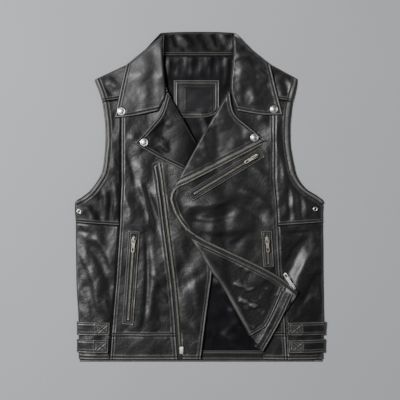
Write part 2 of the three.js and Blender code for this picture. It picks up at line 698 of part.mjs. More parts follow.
drape({
  name: 'zip_right',
  outline: strip(flapEdge, -ZIP_WIDTH, -HALF_SEAM),
  thickness: TAPE,
  on: ['flap_outer'],
});
const facingTop = strip(flapEdge, -1, -ZIP_WIDTH - SEAM_GAP).slice(0, flapEdge.length);
const bandLine = [FLAP.bandTop, FLAP.hemMiddle, FLAP.hemEnd];
const bandInner = strip(bandLine, -1, -FLAP_BAND - HALF_SEAM).slice(0, bandLine.length);
drape({
  name: 'hem_facing_right',
  outline: strip(bandLine, -FLAP_BAND + HALF_SEAM, -0.2),
  thickness: LEATHER,
  on: ['flap_outer'],
});
drape({
  name: 'front_facing',
  outline: [...facingTop.slice(1, -1), bandInner[0], bandInner[1], [FLAP.foot[0] + 4, FLAP.foot[1] + 1],
    FLAP.knee, FLAP.bend, FLAP.hip, [FLAP.waist[0] + 8, FLAP.waist[1]]],
  on: ['flap_outer'],
});

// Belts on the sides, with the end that goes round the edge

function belt(suffix, curves, side, { name, y, width }) {
  const { overhang, overlap, tilt } = BELT_WRAP;
  const outer = shifted(curves.edge, side * overhang);
  const sewnEnd = shifted(curves.seam, side * overlap);
  const full = `${name}_${suffix}`;
  const panel = `side_lower_${suffix}`;
  const [top, bottom] = [y + width / 2, y - width / 2];
  drape({
    name: full,
    outline: between(outer, sewnEnd, top + tilt, top - tilt, bottom + tilt, bottom - tilt),
    thickness: BELT,
    on: [panel],
  });
  const line = down(outer, top + tilt, bottom + tilt);
  const piece = draped[full];
  piece.solid = piece.solid.add(
    foldWall(side < 0 ? line : line.reverse(), overhang - SEAM_GAP, FLOOR, piece.top),
  );
}

BELTS.forEach((row) => {
  belt('left', left, -1, row);
  belt('right', right, 1, row);
});

// Collar leaves, turned over onto the fronts and joined to the stand and the fall

function leaf(suffix, side) {
  const c = LEAF[suffix];
  const piece = drape({
    name: `leaf_${suffix}`,
    outline: [c.fold, c.shoulder, c.side, c.tip, c.front, c.gorge, c.roll, c.throat, c.neck,
      [side < 0 ? NECK_LEFT : NECK_RIGHT, LEAF_WALL.top]],
    on: ['back_panel', `yoke_${suffix}`, `front_${suffix}`, `side_upper_${suffix}`, 'collar_stand',
      'collar_fall'],
    lift: (x, y) => LEAF_RISE.by * smooth((y - LEAF_RISE.fromY) / LEAF_RISE.overY)
      * smooth((LEAF_RISE.fromX - Math.abs(x)) / LEAF_RISE.overX),
  });
  const { share, low, high, width } = LEAF_WALL;
  const end = c.fold.map((value, axis) => value + (c.shoulder[axis] - value) * share);
  const edgeLine = side < 0 ? [c.fold, end] : [end, c.fold];
  const roll = side < 0 ? NECK_LEFT : NECK_RIGHT;
  const rollLine = [[roll + width / 2, low], [roll + width / 2, high]];
  return piece.solid
    .add(foldWall(edgeLine, FOLD_WALL, FLOOR, piece.top))
    .add(foldWall(rollLine, width, stand.bottom, piece.top));
}

const topWall = foldWall(collarTop.slice().reverse(), FOLD_WALL, FLOOR, stand.top);
draped.collar = {
  solid: draped.collar_fall.solid.add(stand.solid).add(topWall).add(leaf('left', -1)).add(leaf('right', 1)),
};

// Pockets: a leather frame on the front with a zip lying in its window

function pocket({ name, on, top, end, width, window }) {
  const direction = new THREE.Vector2(end[0] - top[0], end[1] - top[1]).normalize();
  const along = ([x, y], by) => [x + direction.x * by, y + direction.y * by];
  const ends = (by) => [along(top, -by), along(end, by)];
  drape({
    name: `${name}_frame`,
    outline: strip(ends(POCKET_END), width, -width / 2),
    holes: [strip(ends(0), window, -window / 2).reverse()],
    thickness: 1.4,
    on: [on],
  });
  drape({
    name: `${name}_zip`,
    outline: strip(ends(-SEAM_GAP), window - 2 * SEAM_GAP, SEAM_GAP - window / 2),
    thickness: TAPE,
    on: [on],
  });
}

POCKETS.forEach(pocket);

const CLOTH = {
  leather: ['back_panel', 'back_hem_facing', 'neck_patch', 'yoke_left', 'yoke_right', 'side_upper_left',
    'side_upper_right', 'side_lower_left', 'side_lower_right', 'front_left', 'hem_band_left', 'underlap',
    'lapel_left', 'front_right', 'hem_band_right', 'lapel_right', 'hem_facing_right', 'front_facing',
    'belt_upper_left', 'belt_upper_right', 'belt_lower_left', 'belt_lower_right', 'collar',
    'pocket_left_frame', 'pocket_right_frame', 'pocket_chest_frame'],
  lining: ['back_lining', 'neck_label'],
  tape: ['zip_left', 'zip_right', 'pocket_left_zip', 'pocket_right_zip', 'pocket_chest_zip'],
};
Object.entries(CLOTH).forEach(([finish, names]) => {
  names.forEach((name) => addMesh(name, toGeometry(draped[name].solid), finish));
});

// Snaps, eyelets and the box at the zip's foot

function lathe(profile, segments) {
  const points = profile.map(([r, z]) => new THREE.Vector2(r, z));
  return new THREE.LatheGeometry(points, segments).rotateX(Math.PI / 2);
}

SNAPS.forEach(({ name, on, x, y }) => {
  const { radius, height, rim } = SNAP;
  const dome = [0.9, 0.7, 0.4].map((r) => [radius * r, rim + (height - rim) * Math.sqrt(1 - r * r)]);
  const cap = addMesh(name, lathe([[0, 0], [radius, 0], [radius, rim], ...dome, [0, height]], 24), 'metal');
  cap.position.set(x, y, seatHeight([on], x, y, radius) + SEAM_GAP);
});

EYELETS.forEach(({ name, on, x, y }) => {
  const { outer, hole, height } = EYELET;
  const ring = lathe([[hole, 0], [outer, 0], [outer - 0.6, height], [hole, height], [hole, 0]], 20);
  addMesh(name, ring, 'metal').position.set(x, y, seatHeight([on], x, y, outer) + SEAM_GAP);
});

function addPinBox() {
  const box = new THREE.BoxGeometry(PIN_BOX.width, PIN_BOX.length, PIN_BOX.height);
  const under = ['zip_left', 'underlap', 'hem_band_left'];
  const seat = seatHeight(under, PIN_BOX.x, PIN_BOX.y, PIN_BOX.length / 2);
  const height = seat + SEAM_GAP + PIN_BOX.height / 2;
  addMesh('zip_pin_box', box, 'metal').position.set(PIN_BOX.x, PIN_BOX.y, height);
}

addPinBox();

// Sliders with their crowns, and the tabs that hang from them. Local X runs the way the tab hangs.

function sliderGeometry() {
  const { length, width, height, nose } = SLIDER;
  const plan = new THREE.Shape();
  plan.moveTo(-length / 2, -width / 2 + nose);
  plan.lineTo(-length / 2, width / 2 - nose);
  plan.lineTo(-length / 2 + nose, width / 2);
  plan.lineTo(length / 2 - nose, width / 2 - nose / 2);
  plan.lineTo(length / 2, width / 2 - nose);
  plan.lineTo(length / 2, -width / 2 + nose);
  plan.lineTo(length / 2 - nose, -width / 2 + nose / 2);
  plan.lineTo(-length / 2 + nose, -width / 2);
  plan.closePath();
  const body = new THREE.ExtrudeGeometry(plan, { depth: height, bevelEnabled: false });
  const { half, hole, wall, width: crownWidth } = CROWN;
  const sink = 0.4;
  const rise = hole + wall;
  const arch = new THREE.Shape([[-half, -sink], [half, -sink], [half, rise - 0.9], [half - 0.9, rise],
    [0.9 - half, rise], [-half, rise - 0.9]].map(([x, y]) => new THREE.Vector2(x, y)));
  arch.holes = [new THREE.Path([[wall - half, 0], [wall - half, hole], [half - wall, hole], [half - wall, 0]]
    .map(([x, y]) => new THREE.Vector2(x, y)))];
  const crown = new THREE.ExtrudeGeometry(arch, { depth: crownWidth, bevelEnabled: false })
    .rotateX(Math.PI / 2).translate(0, crownWidth / 2, height);
  return toGeometry(toSolid(body).add(toSolid(crown)));
}

function tabGeometry(length) {
  const { width, thickness, arm, window, eye, eyeLength } = TAB;
  const start = -BAR.half;
  const waist = start + window + 3;
  const plan = new THREE.Shape([[start, -width / 2], [waist - 2, -width / 2], [waist, -width / 2 + 0.8],
    [length - 2, -width / 2 + 0.4], [length, -width / 2 + 2], [length, width / 2 - 2],
    [length - 2, width / 2 - 0.4], [waist, width / 2 - 0.8], [waist - 2, width / 2], [start, width / 2]]
    .map(([x, y]) => new THREE.Vector2(x, y)));
  const rectangle = (x0, x1, half) => new THREE.Path([[x0, -half], [x0, half], [x1, half], [x1, -half]]
    .map(([x, y]) => new THREE.Vector2(x, y)));
  plan.holes = [
    rectangle(BAR.half, start + window, width / 2 - arm),
    rectangle(length - 3 - eyeLength, length - 3, eye / 2),
  ];
  return new THREE.ExtrudeGeometry(plan, { depth: thickness, bevelEnabled: false })
    .translate(0, 0, -thickness / 2);
}

PULLS.forEach(({ name, on, at: [x, y], toward, length }) => {
  const heading = Math.atan2(toward[1] - y, toward[0] - x);
  const pulled = new THREE.Group();
  const seat = seatHeight([on], x, y, SLIDER.length / 2) + SEAM_GAP;
  pulled.position.set(x, y, seat);
  pulled.rotation.z = heading;
  vest.add(pulled);
  pulled.add(addMesh(`slider_${name}`, sliderGeometry(), name === 'main' ? 'metal' : 'brass'));
  const tab = addMesh(`tab_${name}`, tabGeometry(length), name === 'main' ? 'metal' : 'brass');
  tab.position.z = SLIDER.height + BAR.above;
  pulled.add(tab);
});

export default vest;
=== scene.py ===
# A sleeveless leather biker vest, laid flat on its back with its front unzipped and one corner turned over.
import math

import bmesh
import bpy
import numpy as np
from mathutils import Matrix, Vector


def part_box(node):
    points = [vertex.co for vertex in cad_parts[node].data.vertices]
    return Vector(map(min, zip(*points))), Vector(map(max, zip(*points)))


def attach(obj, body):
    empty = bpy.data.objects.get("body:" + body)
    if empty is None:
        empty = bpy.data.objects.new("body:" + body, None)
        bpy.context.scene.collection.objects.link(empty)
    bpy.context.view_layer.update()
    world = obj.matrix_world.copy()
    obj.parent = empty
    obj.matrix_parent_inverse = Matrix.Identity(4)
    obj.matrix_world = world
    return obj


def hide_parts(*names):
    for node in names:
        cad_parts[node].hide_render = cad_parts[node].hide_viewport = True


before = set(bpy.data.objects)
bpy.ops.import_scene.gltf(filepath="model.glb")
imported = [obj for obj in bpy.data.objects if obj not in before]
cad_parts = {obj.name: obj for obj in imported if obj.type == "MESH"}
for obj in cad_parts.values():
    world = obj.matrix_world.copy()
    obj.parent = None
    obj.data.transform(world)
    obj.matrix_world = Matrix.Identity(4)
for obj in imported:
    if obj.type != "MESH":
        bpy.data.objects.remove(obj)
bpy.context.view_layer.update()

# The tables are in millimetres, from a zero near the lining's middle, which PLACE moves into the frame
MM = 0.001
PLACE = np.array([1.8, -2.0])

LEATHER = 1.8
LINING = 1.0
TAPE = 1.0
BELT = 2.6
FRAME = 1.4
GAP = 0.3
HALF_SEAM = GAP / 2

NECK_SEAM = 284.5
COLLAR_TOP = 333.5
YOKE_SEAM = 196.0
YOKE_DROP = 3.0
YOKE_RISE = 19.0
YOKE_INNER = 66.0
UNDERARM = -7.0
SIDE_SEAM_LEVEL = -53.0
SIDE_SEAM_TILT = 3.0
BAND_SEAM = -277.0
FRONT_HEM = -324.0
BACK_HEM = -329.5
FACING_TOP = BACK_HEM + 24
LINING_INSET = 20.0
BACK_PROUD = 2.5
FOLD_CLEARANCE = 2.3
ZIP_WIDTH = 9.0
LAPEL_FOOT = 73.0
NECK_LEFT = -76.0
NECK_RIGHT = 64.0
BELT_WIDTH = 27.0
BELT_LEVELS = {"upper": -262.0, "lower": -297.0}
BELT_OVERHANG = 3.5
FLAP_BAND = 20.0

# Sections down each half: the level, the outer edge, the long seam, then the zip and the free edge
LEFT_ROWS = np.array([
    (238, -213, -157, -110, -40), (211, -202, -159, -104, -30), (185, -195, -160, -100, -20),
    (139, -190, -160, -93, -12), (95, -191, -160, -86, -3), (51, -197, -160, -78, 4),
    (31, -208, -160, -75, 7), (13, -222, -160.5, -73, 9), (1, -238, -161, -71, 11),
    (-7, -252, -161.5, -70, 12), (-51, -252, -163, -65, 17), (-149, -251, -169, -52, 22),
    (-185, -250, -172, -48, 18), (-245, -246.5, -177, -43, 10), (-330, -246, -183, -37, -1)], float)
RIGHT_ROWS = np.array([
    (238, 193, 145, 66), (225, 190, 146, 60), (199, 183, 147, 46), (159, 177, 147.5, 22),
    (109, 177, 148, -6), (63, 184, 148, -30), (45, 189, 148, -40), (19, 208, 149, -56),
    (-1, 240, 151, -63), (-7, 245, 151.5, -62), (-35, 245, 153, -52), (-72, 245, 155, -28),
    (-90, 245, 156, -15), (-148, 246, 159, 22), (-233, 247, 168, 75), (-308, 246, 172, 122),
    (-330, 246, 173, 126)], float)

# Corners of the shaped pieces, named by where they sit on the garment
SHOULDER = {
    "left": {"tip": (-213, 238), "neck": (-92, 294.5)},
    "right": {"tip": (193, 239.5), "neck": (80, 301)},
}
LEAF = {
    "left": {"fold": (-79, 325.5), "shoulder": (-150, 267.5), "side": (-162, 214), "tip": (-173, 159.5),
             "front": (-140, 162.5), "gorge": (-85, 173.5), "roll": (-76, 190), "throat": (-70, 212),
             "neck": (-76, 290), "top": (-76, 326)},
    "right": {"fold": (67, 325.5), "shoulder": (138, 269.5), "side": (151, 215.5), "tip": (164, 165.5),
              "front": (122, 165.5), "gorge": (73, 173.5), "roll": (63, 199), "throat": (59, 225.5),
              "neck": (64, 290), "top": (64, 326)},
}
LAPEL = {
    "left": {"throat": (-69, 210.5), "gorge": (-80, 172.5), "waist": (-97, 149), "tip": (-134, 108),
             "hem": (-82, 78.5), "foot": (-34, 55), "roll": (-7, 107), "bow": (-36, 158), "neck": (-58, 196)},
    "right": {"throat": (57, 214), "gorge": (66, 170.5), "waist": (92, 145), "tip": (131, 114.5),
              "hem": (64, 79.5), "foot": (-22, 35), "curl": (-49, 22), "end": (-61, 6), "roll": (-44, 40),
              "bow": (-6, 110), "neck": (24, 160)},
}
FLAP_EDGE = np.array([(-30, -66), (51, -104), (114, -134), (157, -158), (194, -187)], float)
FLAP_HEM = np.array([(194, -187), (188, -200), (158, -248), (124, -307)], float)
FLAP_FOLD = np.array([
    (-30, -66), (-12, -92), (22, -148), (41, -172), (75, -233), (99, -276), (124, -307)], float)
SNAPS = {"collar_left": (-159, 172.5), "collar_right": (146, 177), "lapel_left": (-113.5, 110.5),
         "lapel_right": (107, 120)}
SNAP_RADIUS = 8.2
EYELETS = {"left": (-244, -27), "right": (229, -22.5)}
POCKETS = {
    "pocket_left": {"on": "front_left", "top": (-134, -72), "end": (-146, -248), "width": 24},
    "pocket_right": {"on": "front_right", "top": (131.5, -72), "end": (135, -133), "width": 22},
    "pocket_chest": {"on": "front_right", "top": (118, 88), "end": (-17, 6), "width": 22},
}
POCKET_WINDOW = 9.5
POCKET_END = 6.0
NECK_PATCH = {"left": -55, "right": 37, "top": 236, "bottom": 160, "corner": 22, "sweep": 1.6}
NECK_LABEL = {"left": -36, "right": 27, "top": 226, "bottom": 171, "corner": 1}

# Creases: x and y of the start, x and y of the end, how far it bows, how wide it is and how high it stands,
# below zero a trough
FRONT_CREASES = [
    (-116, 36, -88, -70, 4, 7, -2.0), (-124, 30, -102, -60, 6, 8, 1.2), (-104, 20, -82, -62, 5, 8, 1.0),
    (-112, -66, -117, -262, 8, 6, -1.5), (-102, -90, -107, -250, 6, 8, 1.1),
    (-90, -176, -60, -206, 5, 6, -1.0), (-94, -196, -62, -228, 6, 7, 0.9),
    (-96, -150, -66, -168, -4, 6, 0.7), (-88, -240, -58, -262, 4, 6, -0.8),
    (-146, 128, -120, 92, 5, 9, 0.9), (-150, 96, -132, 20, 4, 7, -0.9), (-152, 10, -142, -58, 3, 7, 0.8),
    (-232, -82, -180, -196, 10, 12, -1.7), (-242, -110, -206, -226, 10, 10, 1.3),
    (-214, -74, -176, -150, 5, 8, 0.9), (-240, -170, -214, -232, 4, 8, -0.9),
    (-198, -200, -182, -244, 4, 8, 0.9), (-246, -66, -210, -82, 3, 5, -0.7),
    (-202, 8, -206, -48, 3, 5, -1.1), (-192, 20, -194, -46, -2, 5, 0.9),
    (-182, 12, -186, -48, 3, 4.5, -1.0), (-172, 30, -175, -40, 2, 5, 0.7),
    (-230, -16, -214, -50, 3, 6, 0.9), (-182, 120, -176, 50, 3, 7, 0.8),
    (-172, 176, -174, 130, 2, 6, -0.6), (-22, -34, 70, -24, -12, 10, -2.2), (-34, -14, 60, 2, -9, 9, 1.4),
    (-10, -58, 80, -62, -8, 9, 1.1), (60, -8, 132, -52, 8, 10, -1.6), (74, 16, 136, -20, 6, 9, 1.2),
    (96, -64, 60, -96, 4, 8, -1.0), (92, 70, 138, 24, 4, 8, 1.0), (112, -150, 92, -132, 2, 6, 0.6),
    (128, 196, 138, 140, 4, 8, -0.9), (114, 192, 122, 152, 3, 8, 0.8), (140, 100, 144, 40, 2, 7, -0.7),
    (240, -92, 182, -204, -10, 11, 1.7), (222, -72, 172, -158, -8, 11, -1.7),
    (240, -150, 204, -226, -5, 9, -1.0), (228, -190, 194, -244, -4, 8, 0.9),
    (172, 16, 176, -46, 3, 4.5, -1.1), (182, 22, 188, -46, -3, 5, 0.9), (192, 14, 198, -48, 3, 4.5, -1.0),
    (204, 6, 212, -46, 3, 5, 0.8), (160, 90, 166, 30, 2, 6, 0.7), (222, -66, 160, -72, 3, 5, -0.7),
    (168, 176, 164, 120, 2, 6, 0.6), (-200, 226, -176, 204, 3, 7, -0.9),
    (-188, 234, -168, 216, 3, 7, 0.9), (162, 238, 172, 204, 3, 6, -1.1), (176, 236, 180, 206, 3, 5, 0.9),
    (152, 226, 160, 200, 2, 5, 0.7), (-40, -100, -4, -230, 6, 8, 0.9), (-30, -180, 6, -150, 4, 7, -0.8),
    (-20, -250, 2, -300, 3, 6, 0.7),
]
LEFT_LAPEL_CREASES = [
    (-92, 132, -66, 118, 4, 8, -1.1), (-74, 150, -46, 136, 4, 9, 1.0), (-66, 178, -54, 150, 4, 8, -1.0),
    (-84, 110, -44, 92, -6, 10, 1.0), (-58, 120, -30, 104, 3, 8, -0.8), (-76, 166, -62, 186, 3, 6, 0.8),
    (-112, 126, -96, 138, 2, 6, 0.6),
]
RIGHT_LAPEL_CREASES = [
    (30, 168, 52, 150, 3, 9, 0.9), (14, 130, 54, 118, 5, 11, -1.3), (30, 100, 78, 110, -5, 11, 0.9),
    (-10, 82, 36, 90, 4, 9, -1.0), (-30, 52, 4, 60, 3, 8, 0.8), (-52, 20, -34, 34, 3, 5, -0.8),
    (60, 140, 86, 124, 3, 8, -0.8), (44, 200, 52, 176, 2, 6, -0.7),
]
LEFT_LEAF_CREASES = [
    (-96, 304, -98, 236, 5, 11, -0.9), (-116, 284, -122, 226, 4, 11, 0.9),
    (-104, 222, -100, 188, 3, 8, -0.8), (-134, 250, -142, 204, 3, 9, -0.6),
    (-120, 204, -112, 176, 3, 8, 0.7), (-88, 250, -86, 200, 3, 9, 0.7),
]
RIGHT_LEAF_CREASES = [
    (72, 306, 78, 206, 5, 10, 1.3), (94, 306, 116, 196, 6, 13, -1.8), (76, 238, 88, 206, 3, 7, -0.7),
    (112, 270, 118, 220, 4, 10, 0.8), (100, 214, 106, 184, 3, 8, 0.8), (128, 240, 134, 200, 3, 7, -0.7),
    (80, 200, 96, 186, 2, 6, -0.7),
]
STAND_CREASES = [
    (-58, 330, -48, 296, 3, 6, -1.0), (-44, 324, -24, 300, 4, 8, 1.0), (-8, 326, 14, 298, 4, 8, -0.9),
    (22, 330, 34, 300, 3, 6, -1.1), (40, 328, 50, 304, 3, 6, 0.9), (-64, 306, -36, 292, 2, 5, 0.7),
    (4, 300, 40, 292, 2, 5, -0.7),
]
LINING_CREASES = [
    (-66, 284, -70, 232, 3, 3.5, 1.4), (-57, 284, -58, 262, 1, 2.2, -1.0),
    (-46, 284, -50, 238, 2, 3, 1.1), (-37, 284, -37, 268, 1, 2, -0.9), (-30, 284, -34, 252, 2, 2.6, 0.9),
    (-17, 284, -18, 240, -2, 3.4, 1.2), (-9, 284, -8, 264, 1, 2, -1.0), (0, 284, -2, 246, 1, 2.6, 0.8),
    (9, 284, 13, 262, 1, 2.2, 1.0), (18, 284, 15, 236, 2, 3.2, 1.2), (25, 284, 26, 266, 1, 2, -1.0),
    (35, 284, 38, 242, -2, 3, 1.2), (44, 284, 42, 262, 1, 2.2, -0.8), (50, 284, 48, 228, 3, 4, 1.3),
    (58, 280, 58, 240, 2, 3, -0.9), (24, -160, 60, -220, 4, 9, 1.2), (30, -200, 56, -260, 5, 8, -1.2),
    (52, -220, 84, -268, 4, 8, 1.2), (26, -270, 70, -296, 4, 8, 1.0), (66, -262, 100, -298, 3, 7, -1.0),
    (40, -240, 30, -300, 3, 7, -0.8), (-2, 170, 18, 120, 3, 8, 0.9),
]
FACING_CREASES = [
    (50, -180, 92, -200, 4, 5, -1.3), (64, -168, 110, -182, -4, 5, 1.2), (72, -204, 116, -224, 4, 5, 1.3),
    (84, -190, 128, -212, -4, 4.5, -1.2), (96, -236, 134, -252, 3, 5, -1.1),
    (56, -128, 100, -150, 3, 5, 1.0), (36, -122, 66, -146, 3, 5, -1.0),
    (104, -150, 148, -176, -3, 5, -1.1), (120, -176, 158, -196, 3, 5, 1.1),
    (88, -252, 118, -270, 3, 4.5, 1.0), (10, -104, 36, -122, 2, 5, 0.9),
    (126, -214, 150, -230, 3, 4.5, -1.0),
]


def smooth(share):
    """0 below 0 and 1 above 1, with three times the share's square less twice its cube between."""
    s = np.clip(share, 0.0, 1.0)
    return s * s * (3 - 2 * s)


def bell(distance, middle, width):
    """A bell curve: e to the power of minus the square of the distance from its middle over its width."""
    return np.exp(-((distance - middle) / width) ** 2)


# Lines and grids in the plan

def through(rows, column):
    """x as a smooth function of the level: cubic pieces, each row's slope that between its two neighbours."""
    level, value = rows[::-1, 0], rows[::-1, column]
    last = len(level) - 1
    low = np.clip(np.arange(last + 1) - 1, 0, last)
    high = np.clip(np.arange(last + 1) + 1, 0, last)
    slope = (value[high] - value[low]) / (level[high] - level[low])

    def curve(at):
        i = np.clip(np.searchsorted(level, at) - 1, 0, last - 1)
        span = level[i + 1] - level[i]
        t = (at - level[i]) / span
        rising = value[i + 1] * (3 * t**2 - 2 * t**3) + slope[i + 1] * span * (t**3 - t**2)
        return value[i] * (2 * t**3 - 3 * t**2 + 1) + slope[i] * span * (t**3 - 2 * t**2 + t) + rising
    return curve


EDGE = {"left": through(LEFT_ROWS, 1), "right": through(RIGHT_ROWS, 1)}
SEAM = {"left": through(LEFT_ROWS, 2), "right": through(RIGHT_ROWS, 2)}
ZIP_LINE = through(LEFT_ROWS, 3)
FREE = {"left": through(LEFT_ROWS, 4), "right": through(RIGHT_ROWS, 3)}
OUT = {"left": -1.0, "right": 1.0}


def climb(curve, low, high, shift=0.0):
    """Points up a curve x(level) from the low level to the high one, moved sideways by shift."""
    level = np.linspace(low, high, max(2, int(abs(high - low) / 5)))
    return np.column_stack([curve(level) + shift, level])


def soft_line(points, steps=10):
    """A Catmull-Rom curve: each span is the cubic set by its two ends and their neighbours."""
    p = np.asarray(points, float)
    if len(p) == 2:
        return p
    held = np.vstack([2 * p[0] - p[1], p, 2 * p[-1] - p[-2]])
    a, b, c, d = (held[i:len(held) - 3 + i, None] for i in range(4))
    t = np.linspace(0, 1, steps, endpoint=False)[None, :, None]
    curve = b + 0.5 * ((c - a) * t + (2 * a - 5 * b + 4 * c - d) * t**2 + (3 * b - a - 3 * c + d) * t**3)
    return np.vstack([curve.reshape(-1, 2), p[-1:]])


def lengths(line):
    """How far along a line each of its points lies."""
    return np.concatenate([[0.0], np.cumsum(np.hypot(*np.diff(line, axis=0).T))])


def along(line, share):
    """The points of a line at these shares of its length."""
    run = lengths(line)
    place = np.asarray(share) * run[-1]
    return np.column_stack([np.interp(place, run, line[:, 0]), np.interp(place, run, line[:, 1])])


def beside(line, distance):
    """The line moved sideways, to its left for a distance above zero."""
    ahead = np.gradient(line, axis=0)
    ahead /= np.hypot(*ahead.T)[:, None]
    return line + distance * np.column_stack([-ahead[:, 1], ahead[:, 0]])


EDGE_STEP = 0.9
EDGE_ZONE = 8.0


def spread(length, step):
    """Shares from 0 to 1 whose spacing is EDGE_STEP near both ends and grows to step between them."""
    s = np.linspace(0, length, 600)
    rim = np.minimum(s, length - s)
    spacing = EDGE_STEP + (step - EDGE_STEP) * smooth((rim - EDGE_ZONE) / EDGE_ZONE)
    count = np.concatenate([[0.0], np.cumsum(0.5 * (1 / spacing[1:] + 1 / spacing[:-1]) * np.diff(s))])
    whole = max(3, int(round(count[-1])))
    return np.interp(np.linspace(0, count[-1], whole + 1), count, s) / length


def patch(south, east, north, west, step=2.4):
    """A Coons patch: south to north and west to east blended in straight lines, less the corners' blend."""
    u = spread(0.5 * (lengths(south)[-1] + lengths(north)[-1]), step)
    v = spread(0.5 * (lengths(west)[-1] + lengths(east)[-1]), step)
    s, n = along(south, u)[None], along(north, u)[None]
    w, e = along(west, v)[:, None], along(east, v)[:, None]
    across, up = u[None, :, None], v[:, None, None]
    corners = (1 - up) * ((1 - across) * s[:, :1] + across * s[:, -1:])
    corners = corners + up * ((1 - across) * n[:, :1] + across * n[:, -1:])
    grid = (1 - up) * s + up * n + (1 - across) * w + across * e - corners
    right, ahead = grid[:, -1] - grid[:, 0], grid[-1] - grid[0]
    turn = right[:, 0].sum() * ahead[:, 1].sum() - right[:, 1].sum() * ahead[:, 0].sum()
    return grid if turn > 0 else grid[:, ::-1]


def distance_to(line, grid):
    """How far each grid point is from a line: the nearest of its straight stretches counts."""
    start, stretch = line[:-1], np.diff(line, axis=0)
    point = grid.reshape(-1, 1, 2) - start
    t = np.clip((point * stretch).sum(-1) / np.maximum((stretch**2).sum(-1), 1e-9), 0, 1)
    gap = point - t[..., None] * stretch
    return np.sqrt((gap**2).sum(-1).min(1)).reshape(grid.shape[:-1])


def inside(outline, x, y):
    """Whether points lie in an outline: a ray from them crosses it an odd number of times."""
    a, b = outline, np.roll(outline, -1, axis=0)
    odd = np.zeros(x.shape, bool)
    for (x1, y1), (x2, y2) in zip(a, b):
        if y1 != y2:
            odd ^= ((y1 > y) != (y2 > y)) & (x < x1 + (x2 - x1) * (y - y1) / (y2 - y1))
    return odd


# Heights over a raster of the whole laid vest

CELL = 2.0
RASTER_X = np.arange(-264, 260 + CELL, CELL)
RASTER_Y = np.arange(-344, 348 + CELL, CELL)
X, Y = np.meshgrid(RASTER_X, RASTER_Y)


def blur(values, rounds):
    """Each round takes a quarter, a half and a quarter of three neighbours, first across and then up."""
    out = values
    for _ in range(rounds):
        out = np.pad(out, 1, mode="edge")
        out = 0.25 * out[1:-1, :-2] + 0.5 * out[1:-1, 1:-1] + 0.25 * out[1:-1, 2:]
        out = np.pad(out, ((1, 1), (0, 0)), mode="edge")
        out = 0.25 * out[:-2] + 0.5 * out[1:-1] + 0.25 * out[2:]
    return out


def widen(values, rounds):
    """Each round takes the highest of a cell and its four neighbours."""
    out = values
    for _ in range(rounds):
        held = np.pad(out, 1, mode="edge")
        across, up = [held[1:-1, :-2], held[1:-1, 2:]], [held[:-2, 1:-1], held[2:, 1:-1]]
        out = np.max([out, *across, *up], axis=0)
    return out


def solid_top(node, lowest=False):
    """The height of a solid's upward faces over the raster, NaN beside it. A cell is under a face if none of
    its three area shares is below zero, and its height is the corners' mean in those shares. The highest face
    counts, or the lowest."""
    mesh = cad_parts[node].data
    mesh.calc_loop_triangles()
    points = np.empty(len(mesh.vertices) * 3)
    mesh.vertices.foreach_get("co", points)
    corners = np.empty(len(mesh.loop_triangles) * 3, int)
    mesh.loop_triangles.foreach_get("vertices", corners)
    p = points.reshape(-1, 3) / MM
    p[:, :2] -= PLACE
    a, b, c = np.moveaxis(p[corners.reshape(-1, 3)], 1, 0)
    area = (b[:, 0] - a[:, 0]) * (c[:, 1] - a[:, 1]) - (b[:, 1] - a[:, 1]) * (c[:, 0] - a[:, 0])
    up = area > 0.01
    a, b, c, area = a[up], b[up], c[up], area[up]
    low, high = p.min(0), p.max(0)
    rows = np.flatnonzero((RASTER_Y >= low[1]) & (RASTER_Y <= high[1]))
    columns = np.flatnonzero((RASTER_X >= low[0]) & (RASTER_X <= high[0]))
    window = np.ix_(rows, columns)
    x, y = X[window].reshape(-1, 1), Y[window].reshape(-1, 1)
    share_b = ((x - a[:, 0]) * (c[:, 1] - a[:, 1]) - (y - a[:, 1]) * (c[:, 0] - a[:, 0])) / area
    share_c = ((b[:, 0] - a[:, 0]) * (y - a[:, 1]) - (b[:, 1] - a[:, 1]) * (x - a[:, 0])) / area
    under = (share_b > -1e-3) & (share_c > -1e-3) & (share_b + share_c < 1 + 1e-3)
    height = a[:, 2] + share_b * (b[:, 2] - a[:, 2]) + share_c * (c[:, 2] - a[:, 2])
    none = np.inf if lowest else -np.inf
    found = np.where(under, height, none)
    best = found.min(1) if lowest else found.max(1)
    out = np.full(X.shape, np.nan)
    out[window] = np.where(np.isfinite(best), best, np.nan).reshape(len(rows), len(columns))
    return out


def spread_out(values, known, rounds):
    """A blur of what is known alone, which also carries it a little way past its edge."""
    weight = blur(known.astype(float), rounds)
    held = blur(np.where(known, values, 0.0), rounds)
    return np.where(weight > 1e-4, held / np.maximum(weight, 1e-4), np.nan)


def uneven(x, y, size, seed, waves=10):
    """Soft unevenness of about -1 to 1: sine waves of random heading, phase and a length near size."""
    draw = np.random.default_rng(seed)
    heading = draw.uniform(0, 2 * math.pi, waves)
    wave = 2 * math.pi / (size * draw.uniform(0.7, 1.6, waves))
    phase = draw.uniform(0, 2 * math.pi, waves)
    bend = 0.35 * size * np.sin(2 * math.pi * y / (size * 2.7) + phase[0])
    total = np.zeros(np.shape(x))
    for turn, number, start in zip(heading, wave, phase):
        total = total + np.sin(number * ((x + bend) * math.cos(turn) + y * math.sin(turn)) + start)
    return total / math.sqrt(waves / 2)


def crinkle(x, y, size, seed, heading=0.45, stretch=0.42):
    """Sharp little ridges between soft hollows, drawn out along a heading: one less the absolute value of an
    unevenness, at the size and at about half of it."""
    ahead = (x * math.cos(heading) + y * math.sin(heading)) * stretch
    across = y * math.cos(heading) - x * math.sin(heading)
    broad = 1 - np.abs(uneven(ahead, across, size, seed))
    fine = 1 - np.abs(uneven(ahead * 1.2, across, size * 0.55, seed + 1))
    return 0.65 * broad + 0.35 * fine


CREASE_STEPS = 24


